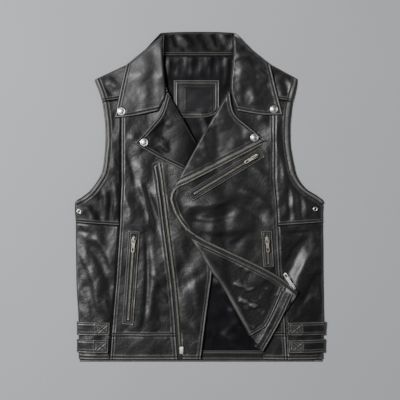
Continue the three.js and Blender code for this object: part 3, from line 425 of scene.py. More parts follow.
def creases(rows):
    """The sum of the rows' creases: each is a bell across its bowed line, a little steeper on one side, and
    fades out over the last third at both of its ends."""
    total = np.zeros(X.shape)
    t = np.linspace(0, 1, CREASE_STEPS + 1)[:, None]
    for x0, y0, x1, y1, bow, width, height in rows:
        a, b = np.array([x0, y0], float), np.array([x1, y1], float)
        span = b - a
        size = math.hypot(*span)
        side = np.array([-span[1], span[0]]) / size
        line = a + span * t + side * bow * 4 * t * (1 - t)
        heading = np.gradient(line, axis=0)
        heading /= np.hypot(*heading.T)[:, None]
        reach = width * 3
        rows_in = (RASTER_Y > line[:, 1].min() - reach) & (RASTER_Y < line[:, 1].max() + reach)
        columns_in = (RASTER_X > line[:, 0].min() - reach) & (RASTER_X < line[:, 0].max() + reach)
        window = np.ix_(np.flatnonzero(rows_in), np.flatnonzero(columns_in))
        dx, dy = X[window][..., None] - line[:, 0], Y[window][..., None] - line[:, 1]
        near = (dx**2 + dy**2).argmin(-1)[..., None]
        dx, dy = np.take_along_axis(dx, near, -1)[..., 0], np.take_along_axis(dy, near, -1)[..., 0]
        hx, hy = heading[near[..., 0], 0], heading[near[..., 0], 1]
        off, ahead = dy * hx - dx * hy, dx * hx + dy * hy
        share = near[..., 0] / CREASE_STEPS + ahead / size
        fade = smooth(share / 0.33 + 0.25) * smooth((1 - share) / 0.33 + 0.25)
        lean = 1 + 0.3 * np.tanh(off / width)
        total[window] += height * fade * np.exp(-(off / (width * lean)) ** 2)
    return total


FRONT_RELIEF = 2.1 * creases(FRONT_CREASES) + 1.3 * uneven(X, Y * 0.6, 66, 11)
FRONT_RELIEF += 0.36 * uneven(X, Y * 0.55, 27, 12) + 0.1 * uneven(X, Y, 10, 13)
TOPS = {}
FAR_ROUNDS = 60


def lay(name, node=None, thickness=LEATHER, on=(), relief=0.0, lowest=False, outline=None, glued=False,
        rounds=8):
    """The top of a cloth piece over the raster. It is its solid's own top, blurred, with its folds on it, and
    stays GAP and its thickness above what it lies on. A glued piece follows only what it lies on."""
    raw = solid_top(node or name, lowest)
    if outline is not None:
        raw = np.where(inside(np.asarray(outline, float), X, Y), raw, np.nan)
    here = np.isfinite(raw)
    form = spread_out(np.nan_to_num(raw), here, rounds)
    far = spread_out(np.nan_to_num(raw), here, FAR_ROUNDS)
    form = np.where(np.isnan(form), far, form)
    form = np.where(np.isnan(form), np.nanmin(raw), form)
    held = np.zeros(X.shape)
    for other in on:
        there = widen(TOPS[other]["here"].astype(float), 1) > 0
        held = np.maximum(held, np.where(there, TOPS[other]["top"] + GAP, 0.0))
    floor = blur(widen(held, 2), 2) + thickness
    top = floor if glued else np.maximum(form + relief, floor)
    TOPS[name] = {"top": blur(top, 1), "here": here}


def height_of(name, grid):
    """A laid piece's height at grid points, in straight lines between the raster's cells."""
    top = TOPS[name]["top"]
    column = np.clip((grid[..., 0] - RASTER_X[0]) / CELL, 0, len(RASTER_X) - 1.001)
    row = np.clip((grid[..., 1] - RASTER_Y[0]) / CELL, 0, len(RASTER_Y) - 1.001)
    i, j = column.astype(int), row.astype(int)
    u, v = column - i, row - j
    low = top[j, i] * (1 - u) + top[j, i + 1] * u
    high = top[j + 1, i] * (1 - u) + top[j + 1, i + 1] * u
    return low * (1 - v) + high * v


# Edges and seams, as heights over the distance from a line

def quarter_turn(distance, radius):
    """A quarter of a circle: 1 at the rim and 0 a radius inwards, as a share of the drop."""
    return 1 - np.sqrt(1 - (1 - np.clip(distance / radius, 0, 1)) ** 2)


class Edge:
    """How the leather rises beside a line, and how its colour changes there: lighter above zero, scuffing
    with painted highlight, darker below zero, painted shade. Both are sums of bells, given as rows of height,
    middle and width. A rim is turned down over its radius, by a drop or down to a level."""

    def __init__(self, raised, scuffed_and_painted_light, stitch_at=None, sink=0.0, radius=None, drop=0.0, level=None):
        self.raised = raised
        self.scuffed_and_painted_light_rows = scuffed_and_painted_light
        self.stitch_at = stitch_at
        self.sewn = stitch_at is not None
        self.sink = sink
        self.radius = radius
        self.drop = drop
        self.level = level

    def rise(self, distance, base):
        """The sum of the bells at a distance, less the rim's share of its drop there."""
        total = sum(height * bell(distance, middle, width) for height, middle, width in self.raised)
        if self.radius:
            drop = self.drop if self.level is None else np.maximum(base - self.level, 0)
            total = total - drop * quarter_turn(distance, self.radius)
        return total

    def scuffed_and_painted_light(self, distance):
        """The colour's change at a distance, scuffing with painted highlight above zero and painted shade
        below: the sum of its own bells.
        """
        return sum(share * bell(distance, middle, width) for share, middle, width in self.scuffed_and_painted_light_rows)

    def unsewn(self):
        """The same edge with no stitches in it."""
        self.sewn = False
        return self


def topstitched(at=4.8, puff=1.0, groove=1.15):
    """A turned edge: round at its rim, puffed up to its stitches, sunk along them and puffed again behind."""
    raised = [(puff, at * 0.5, at * 0.36), (0.5 * puff, at + 2.8, 1.6), (-groove, at, 1.15)]
    # Its colour is lighter along the rim and behind the stitches, scuffing with painted highlight, and
    # painted shade darkens the stitch groove
    scuffed_and_painted_light = [(0.95, at * 0.5, at * 0.26), (0.5, at + 2.6, 1.0), (-1.2, at, 0.95)]
    return Edge(raised, scuffed_and_painted_light, at, groove * 0.75, radius=1.5, drop=1.2)


def lapped(at=5.0, puff=0.9, groove=1.1):
    """The upper leather of a seam: it drops at the seam, then is puffed and stitched beside it."""
    raised = [(puff, at * 0.52, at * 0.34), (0.4 * puff, at + 2.4, 1.5), (-1.1, 0, 1.0), (-groove, at, 1.1)]
    # Lighter on the puffs, scuffing with painted highlight; painted shade darkens the stitch groove and the
    # seam
    scuffed_and_painted_light = [(0.95, at * 0.5, at * 0.24), (0.5, at + 2.4, 1.0), (-1.2, at, 0.9), (-1.0, 0, 0.8)]
    return Edge(raised, scuffed_and_painted_light, at, groove * 0.75)


def tucked(deep=1.3):
    """The lower leather of a seam: it sinks towards the seam."""
    # Painted shade darkens the leather along the seam
    return Edge([(-deep, 0, 2.2)], [(-1.0, 0, 1.3)])


def pressed(reach=0.9):
    """A line of stitches pulled into thick leather: a narrow trough, darkened with painted shade, between two
    low ridges, lightened by scuffing and painted highlight.
    """
    raised = [(0.45, reach * 2.2, reach), (-0.8, 0, reach)]
    return Edge(raised, [(0.7, reach * 2.2, reach), (-1.0, 0, reach * 0.8)], 0.0, 0.5)


def dimple(radius):
    """The leather round a snap, pulled down beside its cap and a little raised around that."""
    # Painted shade darkens the ring pulled down beside the cap
    return Edge([(0.2, radius + 3.0, 1.6), (-0.5, radius + 0.4, 0.9)], [(-0.55, radius + 0.4, 0.9)])


def turned_down(radius, level):
    """A fold over an edge: a quarter of an ellipse from the sheet's height down to the level."""
    # Lighter over the fold, scuffing with painted highlight
    return Edge([], [(0.35, radius * 0.5, radius * 0.4)], radius=radius, level=level)


# Meshes

def linked(name, data):
    """A new object with this data, in the scene."""
    made = bpy.data.objects.new(name, data)
    bpy.context.scene.collection.objects.link(made)
    return made


def make_object(name, points, faces, scuff_and_painted_light=None, sharp=None):
    """A mesh object from points in the tables' millimetres and its faces, four or three corners each."""
    place = np.asarray(points, float).reshape(-1, 3).copy()
    place[:, :2] += PLACE
    sizes = np.concatenate([np.full(len(f), f.shape[1]) for f in faces])
    corners = np.concatenate([f.ravel() for f in faces])
    mesh = bpy.data.meshes.new(name)
    mesh.vertices.add(len(place))
    mesh.vertices.foreach_set("co", (place * MM).astype(np.float32).ravel())
    mesh.loops.add(len(corners))
    mesh.loops.foreach_set("vertex_index", corners.astype(np.int32))
    mesh.polygons.add(len(sizes))
    mesh.polygons.foreach_set("loop_start", np.concatenate([[0], np.cumsum(sizes)[:-1]]).astype(np.int32))
    mesh.update(calc_edges=True)
    mesh.validate()
    mesh.shade_smooth()
    if sharp is not None:
        mesh.set_sharp_from_angle(angle=math.radians(sharp))
    # The points' colour change: scuffing with painted highlight above zero, painted shade below
    if scuff_and_painted_light is not None:
        layer = mesh.attributes.new("scuff_and_painted_light", "FLOAT", "POINT")
        layer.data.foreach_set("value", np.asarray(scuff_and_painted_light, np.float32).ravel())
    return linked(name, mesh)


def shell(top, bottom, scuff_and_painted_light, ring=False):
    """A closed wall between two grids of points: quads on both, and quads round the rim that join them."""
    rows, columns = top.shape[:2]
    index = np.arange(rows * columns).reshape(rows, columns)
    if ring:
        index = np.column_stack([index, index[:, :1]])
    below = index + rows * columns
    upper = np.stack([index[:-1, :-1], index[:-1, 1:], index[1:, 1:], index[1:, :-1]], -1).reshape(-1, 4)
    lower = np.stack([below[:-1, :-1], below[1:, :-1], below[1:, 1:], below[:-1, 1:]], -1).reshape(-1, 4)
    if ring:
        loops = [index[0], index[-1, ::-1]]
    else:
        loops = [np.concatenate([index[0], index[1:, -1], index[-1, -2::-1], index[-2::-1, 0]])]
    rims = [np.column_stack([r[:-1], r[:-1] + rows * columns, r[1:] + rows * columns, r[1:]]) for r in loops]
    points = np.concatenate([top.reshape(-1, 3), bottom.reshape(-1, 3)])
    return points, [np.concatenate([upper, lower, *rims])], np.concatenate([scuff_and_painted_light.ravel(), scuff_and_painted_light.ravel()])


def join(parts):
    """Several forms, each its points and its lists of faces, as one whose faces are counted on."""
    offset = np.concatenate([[0], np.cumsum([len(points) for points, _ in parts])[:-1]])
    faces = [rows + start for (_, lists), start in zip(parts, offset) for rows in lists]
    return np.concatenate([points for points, _ in parts]), faces


# The thinnest wall, the lightening of ridges by scuffing and painted highlight, and the painted shade in
# hollows
THINNEST = 0.5
RIDGE_SCUFF_AND_HIGHLIGHT = 0.07
# Pieces whose ridges are lightened more: on the facing, mostly painted highlight on its crinkles
PIECE_RIDGE_SCUFF_AND_HIGHLIGHT = {"front_facing": 0.6, "leaf_right": 0.2}
HOLLOW_PAINTED_SHADE = 0.4
STITCH_LINES = {"left": [], "middle": [], "right": []}


def cloth_part(name, grid, thickness, edges, ring=False, floor=0.0):
    """The shell of a laid piece over a grid, with its edges and seams worked into its top."""
    base = height_of(name, grid)
    top, scuff_and_painted_light = base.copy(), np.zeros(base.shape)
    # Each edge adds its rise and its colour change of scuffing, painted highlight and painted shade; the
    # strongest change holds
    for line, edge in edges:
        distance = distance_to(np.asarray(line, float), grid)
        top += edge.rise(distance, base)
        scuffed_and_painted_light = edge.scuffed_and_painted_light(distance)
        scuff_and_painted_light = np.where(np.abs(scuffed_and_painted_light) > np.abs(scuff_and_painted_light), scuffed_and_painted_light, scuff_and_painted_light)
    TOPS["ridge"] = {"top": TOPS[name]["top"] - blur(TOPS[name]["top"], 8)}
    ridge = np.clip(height_of("ridge", grid), -1, 1)
    # Ridges lighter, scuffing and painted highlight, and hollows darker, painted shade
    scuff_and_painted_light = np.clip(scuff_and_painted_light + np.where(ridge > 0, PIECE_RIDGE_SCUFF_AND_HIGHLIGHT.get(name, RIDGE_SCUFF_AND_HIGHLIGHT), HOLLOW_PAINTED_SHADE) * ridge, -1, 1)
    top = np.maximum(top, floor + THINNEST)
    bottom = np.maximum(np.minimum(base - thickness, top - THINNEST), floor)
    return shell(np.dstack([grid, top]), np.dstack([grid, bottom]), scuff_and_painted_light, ring)


def stitched(name, line, edge, grid, part):
    """Remembers a stitch line beside an edge, on the side where the piece's middle is."""
    middle = grid.reshape(-1, 2).mean(0)
    even = along(line, np.linspace(0, 1, max(8, int(lengths(line)[-1] / 4))))
    lines = [beside(even, edge.stitch_at), beside(even, -edge.stitch_at)]
    away = [np.hypot(*(points - middle).T).mean() for points in lines]
    STITCH_LINES[part].append((name, lines[0] if away[0] < away[1] else lines[1], edge.sink))


def flat_size(grid):
    """A sheet's width, length and area before it was laid: its grid's longest row and column, its cells."""
    across = np.hypot(*np.moveaxis(np.diff(grid, axis=1), -1, 0)).sum(1).max()
    up = np.hypot(*np.moveaxis(np.diff(grid, axis=0), -1, 0)).sum(0).max()
    a, b = grid[1:, 1:] - grid[:-1, :-1], grid[1:, :-1] - grid[:-1, 1:]
    area = 0.5 * np.abs(a[..., 0] * b[..., 1] - a[..., 1] * b[..., 0]).sum()
    return across * MM, up * MM, area * MM * MM


def finish_piece(piece, material, nodes=(), body="garment"):
    """Gives a piece its material, and says what it rides on and stands for."""
    piece.data.materials.clear()
    piece.data.materials.append(material)
    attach(piece, body)
    if nodes:
        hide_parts(*nodes)
    return piece


def between(west, east):
    """The four sides of a piece between two long lines, both given from their south ends."""
    return np.array([west[0], east[0]]), east, np.array([west[-1], east[-1]]), west


def cloth(name, sides, edges, material=None, level=None, nodes=None, thickness=LEATHER,
          step=2.4, part="middle", floor=0.0):
    """A cloth piece between its south, east, north and west sides, each edge a line and how it is made. Where
    its laid height has another name, level says it."""
    level = level or name
    grid = patch(*[np.asarray(side, float) for side in sides], step=step)
    points, faces, scuff_and_painted_light = cloth_part(level, grid, thickness, edges, floor=floor)
    piece = make_object(f"{name}_cloth", points, faces, scuff_and_painted_light)
    for line, edge in edges:
        if edge.sewn:
            stitched(level, np.asarray(line, float), edge, grid, part)
    finish_piece(piece, material or BLACK_LEATHER, (name,) if nodes is None else nodes)
    width, length, area = flat_size(grid)
    return piece


# Shader maths

class Wire:
    """One value in a shader. Working with it adds Math nodes."""

    def __init__(self, finish, socket):
        self.finish = finish
        self.socket = socket

    def math(self, operation, *others):
        """One Math node on this value and the others."""
        values = dict(enumerate([self, *others]))
        return self.finish.node("ShaderNodeMath", {"operation": operation}, values)["Value"]

    def __add__(self, other):
        return self.math("ADD", other)

    def __sub__(self, other):
        return self.math("SUBTRACT", other)

    def __mul__(self, other):
        return self.math("MULTIPLY", other)

    def __truediv__(self, other):
        return self.math("DIVIDE", other)

    def __rsub__(self, other):
        return self.finish.node("ShaderNodeMath", {"operation": "SUBTRACT"}, {0: other, 1: self})["Value"]

    __radd__ = __add__
    __rmul__ = __mul__

    def held(self):
        """The value kept between 0 and 1."""
        return self.finish.node("ShaderNodeClamp", {}, {"Value": self})["Result"]


class Node:
    """A node whose outputs are read by name, as wires."""

    def __init__(self, finish, node):
        self.finish = finish
        self.node = node

    def __getitem__(self, name):
        return Wire(self.finish, self.node.outputs[name])


class Finish:
    """A material and the one method that adds nodes to it."""

    def __init__(self, name, **constants):
        self.material = bpy.data.materials.new(name)
        self.material.use_nodes = True
        self.tree = self.material.node_tree
        self.tree.nodes.clear()
        self.shader = self.node("ShaderNodeBsdfPrincipled", {}, constants)
        self.node("ShaderNodeOutputMaterial", {}, {"Surface": self.shader["BSDF"]})
        self.place = self.node("ShaderNodeTexCoord", {}, {})["Object"]

    def node(self, kind, settings, inputs):
        """Adds a node, sets its settings and then its sockets, each with a value or a wire."""
        made = self.tree.nodes.new(kind)
        for key, value in settings.items():
            setattr(made, key, value)
        for key, value in inputs.items():
            if isinstance(value, Wire):
                self.tree.links.new(value.socket, made.inputs[key])
            else:
                made.inputs[key].default_value = value
        return Node(self, made)

    def noise(self, scale, detail=3.0, rough=0.55, place=None):
        """Noise with this many swells a metre."""
        sockets = {"Vector": place or self.place, "Scale": scale, "Detail": detail, "Roughness": rough}
        return self.node("ShaderNodeTexNoise", {}, sockets)["Fac"]

    def mix(self, share, low, high):
        """Two colours mixed by a value."""
        sockets = {0: share, 6: (*low, 1) if type(low) is tuple else low, 7: (*high, 1)}
        return Wire(self, self.node("ShaderNodeMix", {"data_type": "RGBA"}, sockets).node.outputs[2])

    def attribute(self, name):
        """A value that the piece's points carry, such as how worn they are."""
        return self.node("ShaderNodeAttribute", {"attribute_name": name}, {})["Fac"]

    def bump(self, height, distance):
        """Raises the surface by a height times a distance in metres."""
        raised = self.node("ShaderNodeBump", {}, {"Height": height, "Distance": distance})
        self.feed("Normal", raised["Normal"])

    def feed(self, name, wire):
        """Leads a value to one of the shader's sockets."""
        self.tree.links.new(wire.socket, self.shader.node.inputs[name])


def cells(f, scale):
    """How far a place is from the walls of its cell, with this many cells a metre."""
    sockets = {"Vector": f.place, "Scale": scale, "Randomness": 1.0}
    return f.node("ShaderNodeTexVoronoi", {"feature": "DISTANCE_TO_EDGE"}, sockets)["Distance"]


DARK_HIDE = (0.0018, 0.0018, 0.002)
LIGHT_HIDE = (0.0065, 0.0065, 0.007)
# A lighter grey for scuffed leather, which also paints the highlight along edges, stitched puffs and fold
# ridges
SCUFF_AND_HIGHLIGHT_GREY = (0.185, 0.181, 0.172)
# Near black: painted shade in stitch grooves, seams and fold hollows
PAINTED_SHADE = (0.0015, 0.0015, 0.0015)


def leather(name, dark=DARK_HIDE, light=LIGHT_HIDE, rough=0.335, crumple=1.0, gloss=0.5):
    """Waxed cowhide: small cells of grain, soft mottling, greyer and rougher where scuffed and where
    highlight is painted on edges and ridges, near black and rougher where shade is painted in grooves and
    hollows.
    """
    f = Finish(name, **{"Specular IOR Level": gloss, "Coat Roughness": 0.32, "Coat IOR": 1.5})
    pores = (cells(f, 620.0) * 5.0).held()
    mottle = f.noise(26, 4.0, 0.6)
    patches = f.noise(9, 3.0, 0.5)
    fine = f.noise(420, 3.0, 0.6)
    # The points' value: above zero, scuffing with painted highlight, mixed towards grey; below zero, painted
    # shade, mixed towards near black
    scuff_and_light_values = f.attribute("scuff_and_painted_light")
    scuff_and_painted_light = (scuff_and_light_values * (0.45 + mottle * 0.9)).held()
    # The share of painted shade
    painted_shade_share = (scuff_and_light_values * -1.0).held()
    body = f.mix((mottle * 0.6 + patches * 0.7 - 0.2).held(), dark, light)
    scuffed_and_painted_light = f.mix((scuff_and_painted_light * 0.75 + (fine - 0.5) * scuff_and_painted_light * 0.8).held(), body, SCUFF_AND_HIGHLIGHT_GREY)
    f.feed("Base Color", f.mix(painted_shade_share, scuffed_and_painted_light, PAINTED_SHADE))
    shine = rough - 0.05 + mottle * 0.13 + scuff_and_painted_light * 0.05 + (1 - pores) * 0.12 + f.noise(60, 2.0) * 0.04
    f.feed("Roughness", (shine + painted_shade_share * 0.15).held())
    f.feed("Coat Weight", (0.44 * gloss - patches * 0.2 - painted_shade_share * 0.3).held())
    wrinkle = (cells(f, 95.0) * 6.0).held() * 0.5 + f.noise(150, 4.0, 0.6) * 1.2
    f.bump(pores * 0.35 + fine * 0.25 + wrinkle * crumple, 0.00016)
    return f.material


def diagonal(f, length, share=1.0):
    """A sine wave across the plan's diagonal, this many metres long, with Y counted by a share."""
    axes = f.node("ShaderNodeSeparateXYZ", {}, {"Vector": f.place})
    return ((axes["X"] + axes["Y"] * share) * (2 * math.pi / length)).math("SINE")


def satin(name, dark, light):
    """A satin lining: a fine twill that shines along its folds."""
    f = Finish(name, **{"Specular IOR Level": 0.24, "Sheen Weight": 0.12, "Sheen Roughness": 0.4})
    twill = diagonal(f, 0.0006)
    slack = f.noise(34, 3.0, 0.5)
    f.feed("Base Color", f.mix((slack * 1.3 - 0.15).held(), dark, light))
    f.feed("Roughness", 0.34 + slack * 0.12 + twill * 0.02)
    f.bump(twill * 0.06 + f.noise(240, 2.0) * 0.5, 0.0003)
    return f.material


def woven_tape(name):
    """Zip tape: a herringbone of fine black yarn."""
    f = Finish(name, **{"Specular IOR Level": 0.3, "Sheen Weight": 0.2})
    rib = diagonal(f, 0.0011, -1.0)
    yarn = (f.noise(300) + rib * 0.2).held()
    f.feed("Base Color", f.mix(yarn, (0.008, 0.008, 0.009), (0.022, 0.022, 0.022)))
    f.feed("Roughness", 0.8 + f.noise(200) * 0.1)
    f.bump(rib * 0.3 + diagonal(f, 0.0008) * 0.2, 0.0002)
    return f.material


def metal(name, deep, bright, rough, tarnish):
    """Plated metal: hairline scratches, darker where it is tarnished."""
    f = Finish(name, **{"Metallic": 1.0, "Specular IOR Level": 0.5})
    stain = f.noise(130, 4.0, 0.65)
    stretched = f.node("ShaderNodeMapping", {}, {"Vector": f.place, "Scale": (1.0, 9.0, 1.0)})["Vector"]
    hair = f.noise(900, 2.0, 0.6, place=stretched)
    share = (stain * 1.8 - 0.9 + (1 - tarnish)).held()
    f.feed("Base Color", f.mix(share, deep, bright))
    f.feed("Roughness", (rough + (1 - share) * 0.22 + hair * 0.08).held())
    f.bump(hair * 0.3 + stain * 0.3, 0.00008)
    return f.material


def thread(name):
    """Waxed black thread, twisted."""
    f = Finish(name, **{"Specular IOR Level": 0.4, "Sheen Weight": 0.3})
    twist = diagonal(f, 0.0007, 1.3)
    f.feed("Base Color", f.mix(f.noise(180), (0.016, 0.016, 0.017), (0.05, 0.05, 0.05)))
    f.feed("Roughness", 0.6 + twist * 0.05)
    f.bump(twist, 0.0001)
    return f.material


# Each leather's darkest and lightest colour, roughness, crumple and gloss where they aren't the plain hide's
BLACK_LEATHER = leather("black_leather")
SIDE_LEATHER = {"left": leather("side_leather", rough=0.36, gloss=0.26), "right": BLACK_LEATHER}
LAPEL_LEATHER = leather("lapel_leather", gloss=0.25)
COLLAR_LEATHER = leather("collar_leather", (0.0035, 0.0035, 0.004), (0.0115, 0.0115, 0.012), 0.37, 0.7)
# A darker copy of the plain hide for the collar stand: painted shade
SHADED_STAND_HIDE = leather("stand_hide_painted_shade", (0.0015, 0.0015, 0.0016), (0.004, 0.004, 0.0042), 0.33, 0.8, 0.22)
BACK_LEATHER = leather("back_leather", (0.0025, 0.0025, 0.003), (0.0075, 0.0075, 0.008), 0.35, 0.8)
# A lighter copy of the plain hide for the turned-back facing: painted highlight
LIT_FACING_HIDE = leather("facing_hide_painted_light", (0.003, 0.003, 0.003), (0.011, 0.011, 0.011), 0.33, 1.5, 0.36)
SATIN = satin("satin_lining", (0.002, 0.002, 0.003), (0.005, 0.005, 0.0065))
LABEL_SATIN = satin("label_satin", (0.006, 0.006, 0.007), (0.012, 0.012, 0.014))
ZIP_CLOTH = woven_tape("zip_cloth")
NICKEL = metal("nickel_plate", (0.5, 0.49, 0.47), (0.93, 0.92, 0.9), 0.26, 0.08)
SATIN_NICKEL = metal("satin_nickel", (0.6, 0.59, 0.57), (0.95, 0.94, 0.92), 0.44, 0.08)
TOOTH_BRASS = metal("tooth_brass", (0.12, 0.115, 0.098), (0.46, 0.44, 0.38), 0.36, 0.45)
OLD_BRASS = metal("old_brass", (0.12, 0.11, 0.085), (0.60, 0.57, 0.48), 0.4, 0.42)
DARK_BRASS = metal("dark_brass", (0.02, 0.018, 0.014), (0.10, 0.09, 0.07), 0.42, 0.7)
THREAD = thread("black_thread")

# Laying the pieces, from the floor up

LEAF_RIM = ("tip", "front", "gorge", "roll", "throat", "neck", "top", "fold", "shoulder", "side")
FALL_SOUTH = [(-126, 258), (-70, 262), (-6, 264), (60, 262), (116, 258)]
FALL_ENDS = {"left": (-141, 273), "right": (130, 275)}
COLLAR_MIDDLE = (-6, COLLAR_TOP)
STAND_TOP = {"left": (NECK_LEFT, COLLAR_TOP - 2), "right": (NECK_RIGHT, COLLAR_TOP - 2)}
FALL_OUTLINE = [FALL_ENDS["left"], *FALL_SOUTH, FALL_ENDS["right"], LEAF["right"]["fold"], STAND_TOP["right"],
                COLLAR_MIDDLE, STAND_TOP["left"], LEAF["left"]["fold"]]
NECK = [(NECK_LEFT, NECK_SEAM), (NECK_RIGHT, NECK_SEAM)]
STAND_OUTLINE = [*NECK, (NECK_RIGHT, COLLAR_TOP), (NECK_LEFT, COLLAR_TOP)]
FLAP_OUTLINE = np.vstack([FLAP_EDGE, FLAP_HEM[1:], FLAP_FOLD[::-1][1:-1]])

# The places where a slider or a pocket's end holds the leather flat: x, y and reach
CALM_SPOTS = [(-134, -88, 22), (132, -88, 22), (107, 81, 22), (-146, -248, 10), (135, -133, 8)]
FRONT_FOLDS = FRONT_RELIEF
for x, y, reach in CALM_SPOTS:
    FRONT_FOLDS = FRONT_FOLDS * smooth((np.hypot(X - x, Y - y) - reach * 0.4) / reach)

lay("collar_fall", "collar", lowest=True, outline=FALL_OUTLINE)
lay("back_panel", on=["collar_fall"])
# The lining's gathers under the neck are low, its slack folds under the open front are deep
GATHERS_END = 230
lining_folds = np.clip(creases(LINING_CREASES) * np.where(Y > GATHERS_END, 0.45, 3.2), -0.7, 3.6)
lay("back_lining", thickness=LINING, on=["back_panel"],
    relief=lining_folds + 0.5 + 0.4 * uneven(X, Y, 34, 21))
lay("back_hem_facing", on=["back_panel"], relief=0.2 * uneven(X, Y, 30, 23))
lay("neck_patch", on=["back_lining"], rounds=5)
lay("neck_label", thickness=LINING, on=["neck_patch"], glued=True)
ON_BACK = ["back_panel", "back_lining", "back_hem_facing", "neck_patch", "neck_label"]
for side in OUT:
    lay(f"yoke_{side}", on=ON_BACK, relief=FRONT_FOLDS * 0.8)
    lay(f"side_upper_{side}", on=ON_BACK, relief=FRONT_FOLDS)
    lay(f"side_lower_{side}", on=ON_BACK, relief=FRONT_FOLDS)
lay("front_left", on=ON_BACK, relief=FRONT_FOLDS)
lay("hem_band_left", on=ON_BACK, relief=FRONT_FOLDS * 0.6)
lay("zip_left", thickness=TAPE, on=ON_BACK, relief=FRONT_FOLDS * 0.6)
lay("underlap", on=ON_BACK, relief=FRONT_FOLDS * 0.8)
lay("lapel_left", on=["front_left", "underlap", "zip_left", "yoke_left"],
    relief=1.5 * creases(LEFT_LAPEL_CREASES) + 0.5 * uneven(X, Y, 34, 31) + 0.16 * uneven(X, Y, 13, 32)
    - 1.6 * smooth((X + 128) / 80))
lay("front_right", on=[*ON_BACK, "front_left", "zip_left", "underlap", "lapel_left"], relief=FRONT_FOLDS,
    lowest=True)
lay("hem_band_right", on=ON_BACK, relief=FRONT_FOLDS * 0.6)
lay("lapel_right", on=["front_right", "yoke_right", "lapel_left"],
    relief=1.5 * creases(RIGHT_LAPEL_CREASES) + 0.55 * uneven(X, Y, 36, 41) + 0.16 * uneven(X, Y, 13, 42))
lay("flap_outer", "front_right", outline=FLAP_OUTLINE,
    on=["front_right", "side_lower_right", "side_upper_right", "hem_band_right"])
lay("zip_right", thickness=TAPE, on=["flap_outer"], rounds=4)
lay("hem_facing_right", on=["flap_outer"], rounds=5, relief=0.35 * uneven(X, Y, 22, 51) - 0.2)
facing_crush = 1.0 + 2.4 * bell(np.hypot(X - 112, Y + 196), 0, 42)
lay("front_facing", on=["flap_outer"], rounds=5,
    relief=2.0 * creases(FACING_CREASES) + facing_crush * crinkle(X, Y, 23, 61, 0.62, 0.3) - 1.0
    + 0.2 * uneven(X, Y, 9, 62))
BELTS = {f"belt_{level}_{side}": (side, middle) for side in OUT for level, middle in BELT_LEVELS.items()}
for belt, (side, _) in BELTS.items():
    lay(belt, thickness=BELT, on=[f"side_lower_{side}"], glued=True)
lay("collar_stand", "collar", outline=STAND_OUTLINE, on=["collar_fall"],
    relief=1.35 * creases(STAND_CREASES) + 0.3 * uneven(X, Y, 26, 71) + 2.0 * smooth((Y - NECK_SEAM) / 40))
LEAF_RELIEF = {
    "left": 2.8 * smooth((X + 168) / 90) + 0.8 * creases(LEFT_LEAF_CREASES)
    + 0.4 * uneven(X, Y, 44, 81) + 0.06 * uneven(X, Y, 13, 82),
    "right": 2.8 * smooth((158 - X) / 90) + 1.5 * creases(RIGHT_LEAF_CREASES)
    + 0.5 * uneven(X, Y, 34, 91) + 0.16 * uneven(X, Y, 13, 92),
}
for side in OUT:
    under = [f"{piece}_{side}" for piece in ("yoke", "front", "side_upper", "lapel")]
    lay(f"leaf_{side}", "collar", outline=[LEAF[side][corner] for corner in LEAF_RIM],
        on=["back_panel", "collar_stand", "collar_fall", *under], relief=LEAF_RELIEF[side])
for pocket, row in POCKETS.items():
    lay(f"{pocket}_frame", thickness=FRAME, on=[row["on"]], glued=True)
    lay(f"{pocket}_zip", thickness=TAPE, on=[row["on"]], glued=True)

# Back, lining and neck

ARMHOLE_TOP = 230
SHOULDER_OVERHANG = (1.2, -2.7)
LINING_ARM = 190
LINING_SHOULDER = {"left": (-150, 240), "right": (140, 240)}


def back_corner(side, name):
    """A shoulder's corner on the back panel, a little outside the yoke's."""
    out, back = SHOULDER_OVERHANG
    return np.array(SHOULDER[side][name], float) + (OUT[side] * out, back)


def back_edge(side):
    """The back panel's edge: inside the side fold below the arm, and proud of the armhole above."""
    under = climb(EDGE[side], BACK_HEM, UNDERARM + 3, -OUT[side] * FOLD_CLEARANCE)
    hole = climb(EDGE[side], UNDERARM + 11, ARMHOLE_TOP, OUT[side] * BACK_PROUD)
    return np.vstack([under, hole, back_corner(side, "tip")])


def inset_edges(low, high):
    """The edges of what is sewn inside the back panel, left and right, LINING_INSET within the outline."""
    return [climb(EDGE[side], low, high, -OUT[side] * LINING_INSET) for side in OUT]


west, east = back_edge("left"), back_edge("right")
south = np.array([west[0], east[0]])
necks = {side: back_corner(side, "neck") for side in OUT}
north = np.array([west[-1], necks["left"], *NECK, necks["right"], east[-1]])
cloth("back_panel", (south, east, north, west),
      [(south, topstitched()), (west[10:], topstitched().unsewn()), (east[10:], topstitched().unsewn())],
      BACK_LEATHER, step=5.0)

west, east = inset_edges(FACING_TOP + HALF_SEAM, LINING_ARM)
west, east = np.vstack([west, LINING_SHOULDER["left"]]), np.vstack([east, LINING_SHOULDER["right"]])
north = np.array([west[-1], (NECK_LEFT + 1, NECK_SEAM - 1), (NECK_RIGHT - 1, NECK_SEAM - 1), east[-1]])
cloth("back_lining", (np.array([west[0], east[0]]), east, north, west), [(north[1:3], tucked(0.6))],
      SATIN, thickness=LINING, step=2.8)

sides = between(*inset_edges(BACK_HEM + 1, FACING_TOP - HALF_SEAM))
cloth("back_hem_facing", sides, [(sides[0], topstitched(3.2)), (sides[2], lapped(3.0))])


